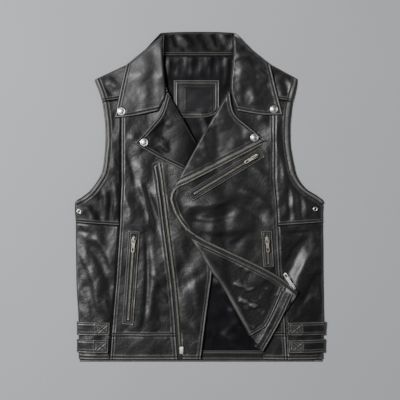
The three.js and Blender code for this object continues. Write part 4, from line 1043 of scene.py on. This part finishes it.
def round_corners(row):
    """A rectangle whose lower corners are arcs, as four sides that meet halfway round each arc."""
    left, right, top, bottom, r = (row[k] for k in ("left", "right", "top", "bottom", "corner"))
    wide = r * row.get("sweep", 1.0)
    turn = np.linspace(0, math.pi / 2, 13)
    left_arc = np.column_stack([left + r - r * np.cos(turn), bottom + r - r * np.sin(turn)])
    right_arc = np.column_stack([right - wide + wide * np.sin(turn), bottom + r - r * np.cos(turn)])
    south = np.vstack([left_arc[6:], right_arc[:7]])
    west = np.vstack([left_arc[6::-1], (left, top)])
    east = np.vstack([right_arc[6:], (right, top)])
    return south, east, np.array([(left, top), (right, top)], float), west


def rim_of(sides):
    """The four sides of a patch as one closed line."""
    south, east, north, west = sides
    return np.vstack([south, east[1:], north[::-1][1:], west[::-1][1:]])


sides = round_corners(NECK_PATCH)
cloth("neck_patch", sides, [(rim_of(sides), topstitched(3.6, 0.9, 0.6))], step=2.0)
sides = round_corners(NECK_LABEL)
cloth("neck_label", sides, [(rim_of(sides), topstitched(2.4, 0.2, 0.3))], LABEL_SATIN,
      thickness=LINING, step=2.0)


# Yokes and sides

YOKE_LOW = YOKE_SEAM - YOKE_DROP


def yoke_seam_level(side):
    """Where the long seam meets the yoke's seam, which rises straight from the armhole towards the neck."""
    outer = EDGE[side](YOKE_SEAM)
    share = (SEAM[side](YOKE_SEAM) - outer) / (OUT[side] * YOKE_INNER - outer)
    return YOKE_LOW + YOKE_RISE * share - GAP


for side in OUT:
    outer = np.vstack([climb(EDGE[side], YOKE_LOW, 232), SHOULDER[side]["tip"]])
    inner = np.array([(OUT[side] * YOKE_INNER, YOKE_LOW + YOKE_RISE), SHOULDER[side]["neck"]], float)
    sides = between(outer, inner)
    cloth(f"yoke_{side}", sides,
          [(sides[0], lapped(4.0)), (outer, topstitched(7.5, 0.7, 0.8)), (sides[2], turned_down(5.0, 1.0))],
          SIDE_LEATHER[side], part=side)

    low_edge, low_seam = SIDE_SEAM_LEVEL + SIDE_SEAM_TILT, SIDE_SEAM_LEVEL - SIDE_SEAM_TILT
    seam_shift = OUT[side] * HALF_SEAM
    outer = climb(EDGE[side], low_edge, YOKE_LOW - GAP)
    long_seam = climb(SEAM[side], low_seam, yoke_seam_level(side), seam_shift)
    fold_line = climb(EDGE[side], low_edge, UNDERARM - 5)
    hole_line = climb(EDGE[side], UNDERARM + 2, YOKE_LOW)
    sides = between(outer, long_seam)
    cloth(f"side_upper_{side}", sides,
          [(sides[0], lapped(4.5)), (sides[2], tucked()), (long_seam, tucked()),
           (fold_line, turned_down(5.0, 1.0)), (hole_line, topstitched(8.5, 0.8, 0.9))],
          SIDE_LEATHER[side], part=side)

    outer = climb(EDGE[side], FRONT_HEM, low_edge - GAP)
    long_seam = climb(SEAM[side], FRONT_HEM, low_seam - GAP, seam_shift)
    sides = between(outer, long_seam)
    cloth(f"side_lower_{side}", sides,
          [(sides[0], topstitched(5.0)), (sides[2], tucked()), (long_seam, tucked()),
           (outer, turned_down(5.0, 1.0))],
          part=side)

# Left front, with its zip, underlap and lapel

FRONT_LOW = BAND_SEAM + HALF_SEAM
BAND_TOP = BAND_SEAM - HALF_SEAM
LONG_SEAM = (5.2, 0.8, 0.8)
HEM_STITCH = 5.0
seam_line = climb(SEAM["left"], FRONT_LOW, yoke_seam_level("left"), HALF_SEAM)
zip_side = climb(ZIP_LINE, FRONT_LOW, LAPEL_FOOT - 11, -ZIP_WIDTH - HALF_SEAM)
under_lapel = [(-60, 84), (-28, 98), *[LAPEL["left"][corner] for corner in ("roll", "bow", "neck")]]
inner_side = np.vstack([zip_side, *under_lapel, (-YOKE_INNER, YOKE_SEAM + 15.7)])
sides = between(seam_line, inner_side)
cloth("front_left", sides,
      [(seam_line, lapped(*LONG_SEAM)), (zip_side, topstitched(*LONG_SEAM)), (sides[0], lapped(4.5)),
       (sides[2], tucked())],
      part="left")

seam_line = climb(SEAM["left"], FRONT_HEM, BAND_TOP, HALF_SEAM)
zip_side = climb(ZIP_LINE, FRONT_HEM, BAND_TOP, -ZIP_WIDTH - HALF_SEAM)
sides = between(seam_line, zip_side)
cloth("hem_band_left", sides,
      [(seam_line, lapped(*LONG_SEAM).unsewn()), (zip_side, topstitched(*LONG_SEAM)),
       (sides[0], topstitched(HEM_STITCH)), (sides[2], tucked())],
      part="left")

zip_west = climb(ZIP_LINE, FRONT_HEM + 2, LAPEL_FOOT, HALF_SEAM - ZIP_WIDTH)
zip_east = climb(ZIP_LINE, FRONT_HEM + 2, LAPEL_FOOT, -HALF_SEAM)
cloth("zip_left", between(zip_west, zip_east), [(zip_west, tucked(0.8))],
      ZIP_CLOTH, thickness=TAPE)

lap_west = climb(ZIP_LINE, FRONT_HEM + 1, LAPEL_FOOT, HALF_SEAM)
lap_east = climb(FREE["left"], FRONT_HEM + 1, LAPEL_FOOT)
sides = between(lap_west, lap_east)
cloth("underlap", sides,
      [(lap_west, tucked(0.8)), (lap_east, topstitched(4.8, 0.9, 0.9)), (sides[0], topstitched(4.5))])


def around(middle):
    """A tiny ring round a snap's middle, to measure the distance from."""
    turn = np.linspace(0, 2 * math.pi, 7)
    return np.array(middle, float) + 0.01 * np.column_stack([np.cos(turn), np.sin(turn)])


def named(table, *lines):
    """Soft lines through the named corners of a piece, one for each string of names."""
    return [soft_line([table[corner] for corner in names.split()]) for names in lines]


LAPEL_NORTH, LAPEL_WEST = "throat neck bow roll", "tip waist gorge throat"
sides = named(LAPEL["left"], "tip hem foot", "foot roll", LAPEL_NORTH, LAPEL_WEST)
south, east, north, west = sides
cloth("lapel_left", sides,
      [(np.vstack([south[::-1], west[1:]]), topstitched()), (north, turned_down(3.5, 7.5)),
       (east, tucked(1.0)), (around(SNAPS["lapel_left"]), dimple(SNAP_RADIUS))],
      LAPEL_LEATHER, part="left", step=2.0)

# Right front, with its lapel and the corner that is turned over

seam_line = climb(SEAM["right"], FRONT_LOW, yoke_seam_level("right"), -HALF_SEAM)
free_line = climb(FREE["right"], FRONT_LOW, YOKE_SEAM + 14)
curl_line = climb(FREE["right"], -64, 14)
sides = between(free_line, seam_line)
front_grid = patch(*sides)
front_edges = [(curl_line, topstitched(8.0, 0.8, 1.0)), (seam_line, lapped(*LONG_SEAM)),
               (free_line, turned_down(4.0, 6.5)), (sides[0], lapped(4.5)), (sides[2], tucked())]
flap_west = np.array([FLAP_FOLD[0] - (0, 2), FLAP_FOLD[0]])
flap_fold = soft_line(np.vstack([FLAP_FOLD[:1] - (0, 2), FLAP_FOLD[1:]]))
flap_edge, flap_hem = soft_line(FLAP_EDGE), soft_line(FLAP_HEM)
flap_grid = patch(flap_fold, flap_hem[::-1], flap_edge, flap_west)
rounded = topstitched(30, 0.0, 0.0)
parts = [cloth_part("front_right", front_grid, LEATHER, front_edges),
         cloth_part("flap_outer", flap_grid, LEATHER, [(flap_edge, rounded), (flap_hem, rounded)])]
points, faces = join([(points, faces) for points, faces, _ in parts])
front_piece = make_object("front_right_cloth", points, faces, np.concatenate([scuff_and_painted_light for _, _, scuff_and_painted_light in parts]))
finish_piece(front_piece, BLACK_LEATHER, ("front_right",))
flat_size(front_grid)[2] + flat_size(flap_grid)[2]
stitched("front_right", seam_line, lapped(*LONG_SEAM), front_grid, "right")

seam_line = climb(SEAM["right"], FRONT_HEM, BAND_TOP, -HALF_SEAM)
sides = between(climb(FREE["right"], FRONT_HEM, BAND_TOP), seam_line)
cloth("hem_band_right", sides,
      [(seam_line, lapped(*LONG_SEAM).unsewn()), (sides[0], topstitched(HEM_STITCH)), (sides[2], tucked())],
      part="right")

sides = named(LAPEL["right"], "tip hem foot curl end", "end roll", LAPEL_NORTH, LAPEL_WEST)
lapel_zip_line, east, north, west = sides
cloth("lapel_right", sides,
      [(lapel_zip_line, topstitched(9.5, 0.8, 0.9)), (west, topstitched()), (north, turned_down(4.0, 9.0)),
       (east, turned_down(4.0, 9.0)), (around(SNAPS["lapel_right"]), dimple(SNAP_RADIUS))],
      COLLAR_LEATHER, part="right", step=2.0)

tape_inner = beside(flap_edge, -ZIP_WIDTH)
tape_west, tape_east = (np.array([tape_inner[end], flap_edge[end]]) for end in (0, -1))
cloth("zip_right", (tape_inner, tape_east, flap_edge, tape_west), [(tape_inner, tucked(0.6))],
      ZIP_CLOTH, thickness=TAPE)

band_outer = soft_line([(182.5, -193), *FLAP_HEM[2:]])
band_inner = beside(band_outer, -FLAP_BAND)
cloth("hem_facing_right", between(band_inner[::-1], band_outer[::-1]),
      [(band_outer, topstitched(4.2)), (band_inner, tucked())], LIT_FACING_HIDE)

facing_fold = soft_line(np.vstack([FLAP_FOLD[1] + (-1, 0), FLAP_FOLD[2:-1] + (-2.0, -1.0)]))
facing_hem = along(beside(band_outer, -FLAP_BAND - 0.4)[::-1], np.linspace(0.35, 1, 12))
facing_hem = np.vstack([facing_fold[-1], facing_hem])
facing_edge = along(beside(flap_edge, -ZIP_WIDTH - 0.6), np.linspace(0.13, 0.93, 30))
facing_edge = np.vstack([facing_edge[:-1], facing_hem[-1]])
cloth("front_facing", (facing_fold, facing_hem, facing_edge, np.array([facing_fold[0], facing_edge[0]])),
      [(facing_edge, topstitched(4.0, 0.8, 0.8)), (facing_hem, lapped(4.0)),
       (facing_fold, turned_down(7.0, 6.6))],
      LIT_FACING_HIDE, step=1.6, floor=6.0)

# Belts, each with a crossed box of stitches at its inner end

BOX_LINES = [(0, 2), (1, 3), (1, 2), (0, 3), (0, 1), (2, 3)]
BOX_INSET = 4
for belt, (side, middle) in BELTS.items():
    top, bottom = middle + BELT_WIDTH / 2, middle - BELT_WIDTH / 2
    outer = climb(EDGE[side], bottom + 0.5, top + 0.5, OUT[side] * BELT_OVERHANG)
    inner = climb(SEAM[side], bottom - 0.5, top - 0.5, OUT[side] * 4)
    sides = between(outer, inner)
    near, far = (inner[:, 0].mean() + OUT[side] * reach for reach in (3.5, 27))
    half = BELT_WIDTH / 2 - BOX_INSET
    corners = [(near, middle - half), (far, middle - half), (far, middle + half), (near, middle + half)]
    box = [np.array([corners[a], corners[b]], float) for a, b in BOX_LINES]
    cloth(belt, sides,
          [(np.vstack([sides[0], inner, sides[2][::-1]]), topstitched(3.4, 0.5, 0.6)),
           (outer, turned_down(4.0, 1.5)), *[(line, pressed().unsewn()) for line in box]],
          thickness=BELT, part=side, step=1.6)
    STITCH_LINES[side] += [(belt, along(line, np.linspace(0, 1, 9)), pressed().sink) for line in box]

# Collar

stand_top = soft_line([STAND_TOP["left"], COLLAR_MIDDLE, STAND_TOP["right"]])
west = np.array([(NECK_LEFT, NECK_SEAM + HALF_SEAM), stand_top[0]])
east = np.array([(NECK_RIGHT, NECK_SEAM + HALF_SEAM), stand_top[-1]])
south = np.array([west[0], east[0]])
cloth("collar_stand", (south, east, stand_top, west),
      [(south, lapped(3.6)), (stand_top, turned_down(6.0, 1.0))], SHADED_STAND_HIDE, nodes=("collar",),
      step=2.0)
fall_north = soft_line([LEAF["left"]["fold"], stand_top[0], stand_top[len(stand_top) // 2], stand_top[-1],
                        LEAF["right"]["fold"]])
fall_west, fall_east = (np.array([FALL_SOUTH[end], FALL_ENDS[side], LEAF[side]["fold"]])
                        for end, side in ((0, "left"), (-1, "right")))
cloth("collar_fall", (FALL_SOUTH, fall_east, fall_north, fall_west), [(FALL_SOUTH, topstitched().unsewn())],
      COLLAR_LEATHER, nodes=("collar",), step=4.0)
for side in OUT:
    sides = named(LEAF[side], "tip front gorge", "gorge roll throat neck top", "shoulder fold top",
                  "tip side shoulder")
    lower, inner, upper, outer = sides
    cloth(f"collar_leaf_{side}", sides,
          [(np.vstack([lower[::-1], outer[1:]]), topstitched(5.2)),
           (around(SNAPS[f"collar_{side}"]), dimple(SNAP_RADIUS)),
           (upper[:12], turned_down(9.0, 1.0)), (inner, turned_down(4.5, 7.0))],
          COLLAR_LEATHER, level=f"leaf_{side}", nodes=("collar",), part=side,
          step=2.0)

# Pockets: a frame round a window, and the zip's tape in it


def heading_of(a, b):
    """The way from one point to another and the way to its left, each one long."""
    ahead = (b - a) / np.hypot(*(b - a))
    return ahead, np.array([-ahead[1], ahead[0]])


def rectangle_ring(a, b, past, width, share):
    """Points round a rectangle along the line from a to b, at shares that count its four sides."""
    ahead, side = heading_of(a, b)
    a, b, side = a - ahead * past, b + ahead * past, side * width / 2
    corners = np.array([a - side, b - side, b + side, a + side, a - side])
    return np.column_stack([np.interp(share, np.arange(5), column) for column in corners.T])


FRAME_STEP = 2.2
FRAME_ENDS = 8
FRAME_ROWS = np.array([0, 0.08, 0.18, 0.3, 0.42, 0.54, 0.66, 0.78, 0.88, 0.95, 1])[:, None, None]
for pocket, row in POCKETS.items():
    a, b = np.array(row["top"], float), np.array(row["end"], float)
    size = np.hypot(*(b - a))
    long_way, short_way = (np.arange(count) / count for count in (int(size / FRAME_STEP), FRAME_ENDS))
    share = np.concatenate([long_way, 1 + short_way, 2 + long_way, 3 + short_way])
    window = rectangle_ring(a, b, 0, POCKET_WINDOW, share)
    outer = rectangle_ring(a, b, POCKET_END, row["width"], share)
    grid = outer[None] * (1 - FRAME_ROWS) + window[None] * FRAME_ROWS
    rim, opening = (np.vstack([ring, ring[:1]]) for ring in (outer, window))
    rim_edge = topstitched(3.0, 0.35, 0.55)
    points, faces, scuff_and_painted_light = cloth_part(f"{pocket}_frame", grid, FRAME,
                                     [(rim, rim_edge), (opening, topstitched(2.4, 0.45, 0.35))], ring=True)
    piece = make_object(f"{pocket}_frame_cloth", points, faces, scuff_and_painted_light)
    finish_piece(piece, BLACK_LEATHER, (f"{pocket}_frame",))
    flat = (row["width"] * MM, (size + 2 * POCKET_END) * MM)
    flat[0] * flat[1] - size * POCKET_WINDOW * MM * MM
    stitched(f"{pocket}_frame", rim, rim_edge, grid, "left" if a[0] < 0 else "right")
    ahead, lane = heading_of(a, b)
    lane = lane * (POCKET_WINDOW / 2 - GAP)
    a, b = a + ahead * GAP, b - ahead * GAP
    cloth(f"{pocket}_zip", between(np.array([a - lane, b - lane]), np.array([a + lane, b + lane])),
          [], ZIP_CLOTH, thickness=TAPE)


# Small things that repeat along a line

def strewn(base, faces, places, headings, heights, slopes=None):
    """Copies of a small form set along a line: turned to its heading, moved to its place and height."""
    c, s = np.cos(headings)[:, None], np.sin(headings)[:, None]
    x = places[:, :1] + base[:, 0] * c - base[:, 1] * s
    y = places[:, 1:] + base[:, 0] * s + base[:, 1] * c
    rise = 0 if slopes is None else slopes[:, None] * base[:, 0]
    z = heights[:, None] + base[:, 2] + rise
    starts = (np.arange(len(places)) * len(base))[:, None, None]
    return np.stack([x, y, z], -1).reshape(-1, 3), [(f[None] + starts).reshape(-1, f.shape[1]) for f in faces]


def bands(sides, count):
    """Quads between each ring of points and the next, with count rings of so many sides."""
    ring, after = np.arange(sides), np.roll(np.arange(sides), -1)
    band = np.column_stack([ring, after, after + sides, ring + sides])
    return np.vstack([band + k * sides for k in range(count - 1)])


def tube_form(profile, sides):
    """A lathed form lying along X: rings of the given place and radius, closed by a point at both ends."""
    turn = np.arange(sides) * 2 * math.pi / sides
    rings = [np.column_stack([np.full(sides, x), r * np.cos(turn), r * np.sin(turn)]) for x, r in profile]
    (x0, r0), (x1, r1) = profile[0], profile[-1]
    points = np.vstack([*rings, (x0 - r0 * 0.6, 0, 0), (x1 + r1 * 0.6, 0, 0)])
    ring, after = np.arange(sides), np.roll(np.arange(sides), -1)
    last, start = (len(profile) - 1) * sides, len(profile) * sides
    caps = np.vstack([np.column_stack([ring, np.full(sides, start), after]),
                      np.column_stack([after + last, np.full(sides, start + 1), ring + last])])
    return points, [bands(sides, len(profile)), caps]


def evenly(line, pitch):
    """Places, headings and the share of the way along a line, a pitch apart."""
    total = lengths(line)[-1]
    count = max(1, int(total / pitch))
    share = (np.arange(count) + 0.5) / count
    before, after = (along(line, np.clip(share + step * pitch / total, 0, 1)) for step in (-0.4, 0.4))
    return along(line, share), np.arctan2(*(after - before).T[::-1]), share


def small_piece(name, made, material, sharp=40, body="garment", nodes=()):
    """Joins several small forms into one piece."""
    return finish_piece(make_object(name, *join(made), sharp=sharp), material, nodes, body)


# A stitch's rings as place and radius, its pitch, half its length and how far it stands out
STITCH = tube_form([(-1.35, 0.22), (-0.8, 0.42), (0.8, 0.42), (1.35, 0.22)], 6)
STITCH_PITCH = 3.6
STITCH_HALF = 1.3
STITCH_PROUD = 0.12


def stitch_row(level, line, sink):
    """Stitches along a line, each sloped as the leather under it."""
    places, headings, _ = evenly(line, STITCH_PITCH)
    step = np.column_stack([np.cos(headings), np.sin(headings)]) * STITCH_HALF
    rise = (height_of(level, places + step) - height_of(level, places - step)) / (2 * STITCH_HALF)
    return strewn(*STITCH, places, headings, height_of(level, places) - sink + STITCH_PROUD, rise)


for part, rows in STITCH_LINES.items():
    small_piece(f"stitches_{part}", [stitch_row(*row) for row in rows], THREAD, sharp=None)


def tooth_form(reach, width, height):
    """One zip tooth seen from above: a block with a narrower nose, its top edges chamfered."""
    half, nose, cut = width / 2, width * 0.32, height * 0.35
    neck = reach * 0.62
    plan = np.array([(0, -half), (neck, -half), (reach, -nose), (reach, nose), (neck, half), (0, half)])
    inner = plan + (plan.mean(0) - plan) * 0.22
    points = np.vstack([np.column_stack([outline, np.full(6, level)])
                        for outline, level in ((plan, 0), (plan, height - cut), (inner, height))])
    top = np.array([[12, 13, 16, 17], [13, 14, 15, 16]])
    bottom = np.array([[0, 5, 4, 1], [1, 4, 3, 2]])
    return points, [bands(6, 3), top, bottom]


MAIN_TEETH = {"pitch": 2.1, "width": 1.3}
POCKET_TEETH = {"pitch": 1.9, "width": 1.2}


def teeth_along(line, level, reach, offset, height, lift, size=MAIN_TEETH):
    """A row of teeth beside a line, each square to it, their noses on its left for a reach above zero."""
    places, headings, _ = evenly(beside(line, offset), size["pitch"])
    turned = headings + math.copysign(math.pi / 2, reach)
    form = tooth_form(abs(reach), size["width"], height)
    return strewn(*form, places, turned, height_of(level, places) + lift)


# The path of the teeth round the curl's lower corner
CORNER_ZIP = [(-46.5, -36), (-41.5, -45), (-34.5, -54.5), (-25.5, -64.5), (-12, -74.5), (4, -84.2)]


def corner_teeth(points):
    """The teeth round the curl's lower corner, from the front's height at its top to the turned zip's."""
    places, headings, share = evenly(soft_line(points)[::-1], MAIN_TEETH["pitch"])
    front = height_of("front_right", places) - 0.5
    start = height_of("zip_right", places[:1])[0]
    heights = np.maximum(start + (front[-1] - start) * smooth(share * 1.6), front)
    form = tooth_form(4.2, MAIN_TEETH["width"], 1.9)
    return strewn(*form, beside(places, -2.1), headings + math.pi / 2, heights)


left_teeth = climb(ZIP_LINE, FRONT_HEM + 14, LAPEL_FOOT - 4)
small_piece("zip_left_teeth", [teeth_along(left_teeth, "zip_left", -4.2, 5.2, 1.9, -0.15)],
            TOOTH_BRASS)
flap_teeth = along(flap_edge, np.linspace(0.15, 0.97, 60))
lapel_teeth = along(lapel_zip_line, np.linspace(0.05, 1, 80))
small_piece("zip_right_teeth", [
    teeth_along(flap_teeth, "zip_right", 4.2, -4.6, 1.9, -0.1),
    teeth_along(lapel_teeth, "lapel_right", 3.6, -0.2, 1.7, -1.5),
    teeth_along(climb(FREE["right"], -36, 14), "front_right", -4.0, -1.4, 1.8, -0.7),
    corner_teeth(CORNER_ZIP),
], TOOTH_BRASS)
STOP_BLOCK = tooth_form(2.6, 4.6, 1.9)
for pocket, row in POCKETS.items():
    line = along(np.array([row["top"], row["end"]], float), np.linspace(0.02, 0.98, 40))
    staggered = along(line, np.linspace(0.006, 1, 40))
    stop, back = line[-1:], line[:1] - line[-1:]
    small_piece(f"{pocket}_teeth", [
        teeth_along(line, f"{pocket}_zip", 2.3, -1.9, 1.3, -0.1, POCKET_TEETH),
        teeth_along(staggered, f"{pocket}_zip", -2.3, 1.9, 1.3, -0.1, POCKET_TEETH),
        strewn(*STOP_BLOCK, stop, np.arctan2(back[:, 1], back[:, 0]), height_of(f"{pocket}_zip", stop) - 0.1),
    ], TOOTH_BRASS)


# Snaps, eyelets, sliders and tabs

def lathed(profile, sides, middle, height, ring=False):
    """A form turned about an upright axis from rows of radius and height. A ring's last row joins its first,
    and a row whose radius is almost 0 closes any other form."""
    turn = np.arange(sides) * 2 * math.pi / sides
    rings = [np.column_stack([r * np.cos(turn), r * np.sin(turn), np.full(sides, z)]) for r, z in profile]
    points = np.vstack(rings) + (middle[0], middle[1], height)
    faces = bands(sides, len(profile) + ring)
    return points, [faces % len(points)]


def seat_of(node, carrier, middle, radius):
    """Where a fastening's foot stands: at its solid's foot, or higher if the leather under its rim is."""
    turn = np.arange(12) * math.pi / 6
    rim = np.array(middle, float) + radius * np.column_stack([np.cos(turn), np.sin(turn)])
    return max(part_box(node)[0].z / MM, np.percentile(height_of(carrier, rim), 75) - 0.3)


# Radius and height of each ring
CAP_PROFILE = [(0.02, 0.0), (6.9, 0.0), (8.0, 0.25), (8.2, 0.7), (8.0, 1.15), (7.3, 1.5), (6.7, 1.62),
               (6.2, 1.42), (5.7, 1.5), (5.2, 1.95), (4.2, 2.35), (2.8, 2.62), (1.4, 2.76), (0.02, 2.8)]
SEAT_PROFILE = [(8.4, -0.2), (9.6, -0.2), (9.7, 0.15), (9.2, 0.4), (8.5, 0.35)]
EYELET_PROFILE = [(2.3, 0.0), (4.5, 0.0), (4.7, 0.35), (4.4, 0.9), (3.7, 1.2), (2.9, 1.1), (2.4, 0.7)]
EYELET_RADIUS = 4.7
for snap, middle in SNAPS.items():
    seat = seat_of(f"snap_{snap}", snap.replace("collar", "leaf"), middle, SNAP_RADIUS)
    small_piece(f"snap_{snap}_cap", [lathed(CAP_PROFILE, 48, middle, seat)], NICKEL, sharp=50,
                nodes=(f"snap_{snap}",))
    small_piece(f"snap_{snap}_seat", [lathed(SEAT_PROFILE, 48, middle, seat - 0.1, ring=True)], DARK_BRASS,
                sharp=60)
for side, middle in EYELETS.items():
    seat = seat_of(f"eyelet_{side}", f"side_upper_{side}", middle, EYELET_RADIUS)
    small_piece(f"eyelet_{side}_ring", [lathed(EYELET_PROFILE, 40, middle, seat, ring=True)], NICKEL,
                sharp=60, nodes=(f"eyelet_{side}",))


def refined(node, material, slot, bevel, body="garment"):
    """A copy of a hard solid with its doubles merged and its edges rounded by a bevel."""
    form = bmesh.new()
    form.from_mesh(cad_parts[node].data)
    bmesh.ops.remove_doubles(form, verts=form.verts, dist=0.00001)
    bmesh.ops.dissolve_limit(form, angle_limit=math.radians(1), verts=form.verts, edges=form.edges)
    mesh = bpy.data.meshes.new(f"{node}_form")
    form.to_mesh(mesh)
    form.free()
    mesh.shade_smooth()
    made = linked(f"{node}_metal", mesh)
    rounding = made.modifiers.new("rounding", "BEVEL")
    rounding.width = bevel * MM
    rounding.segments = 3
    rounding.limit_method = "ANGLE"
    rounding.angle_limit = math.radians(25)
    rounding.harden_normals = True
    return finish_piece(made, material, (node,), body)


for pull in ("main", *POCKETS):
    metal_slot = (SATIN_NICKEL, "nickel") if pull == "main" else (OLD_BRASS, "aged_brass")
    refined(f"slider_{pull}", *metal_slot, 0.35)
    refined(f"tab_{pull}", *metal_slot, 0.3, f"tab_{pull}")
refined("zip_pin_box", SATIN_NICKEL, "nickel", 0.5)


# Floor, light and camera

def floor_material():
    """Plain pale matt floor, with a trace of unevenness."""
    f = Finish("pale_floor", **{"Specular IOR Level": 0.2})
    f.feed("Base Color", f.mix(f.noise(3, 2.0), (0.375, 0.38, 0.395), (0.41, 0.415, 0.43)))
    f.feed("Roughness", 0.85 + f.noise(40) * 0.05)
    return f.material


FLOOR_HALF = 6.0
FLOOR_DROP = -0.1
floor_points = np.array([(-1, -1, 1), (1, -1, 1), (1, 1, 1), (-1, 1, 1)], float)
floor_points *= (FLOOR_HALF / MM, FLOOR_HALF / MM, FLOOR_DROP)
floor_piece = make_object("floor", floor_points, [np.array([[0, 1, 2, 3]])])
floor_piece.data.materials.append(floor_material())


def lamp(name, place, size, power):
    """A square soft light that shines on the middle."""
    light = bpy.data.lights.new(name, "AREA")
    light.shape = "SQUARE"
    light.size = size
    light.energy = power
    holder = linked(name, light)
    holder.location = place
    holder.rotation_euler = (-Vector(place)).to_track_quat("-Z", "Y").to_euler()


lamp("key", (-1.62, 0.72, 2.45), 0.65, 132)
lamp("fill", (1.9, 0.3, 1.3), 1.0, 6)
lamp("low", (-0.2, -2.0, 1.2), 1.0, 4)

world = bpy.data.worlds.new("studio")
bpy.context.scene.world = world
world.use_nodes = True
sky = world.node_tree.nodes["Background"].inputs
sky["Color"].default_value = (0.9, 0.95, 1.0, 1)
sky["Strength"].default_value = 0.045

VIEW_WIDTH = 0.8
LENS = 80.0
SENSOR = 36.0
VIEW_MIDDLE = (-0.0002, -0.0065)
TOP_PLANE = 0.010
camera_data = bpy.data.cameras.new("camera")
camera_data.lens = LENS
camera_data.sensor_width = SENSOR
camera = linked("camera", camera_data)
camera.location = (*VIEW_MIDDLE, TOP_PLANE + VIEW_WIDTH * LENS / SENSOR)
bpy.context.scene.camera = camera
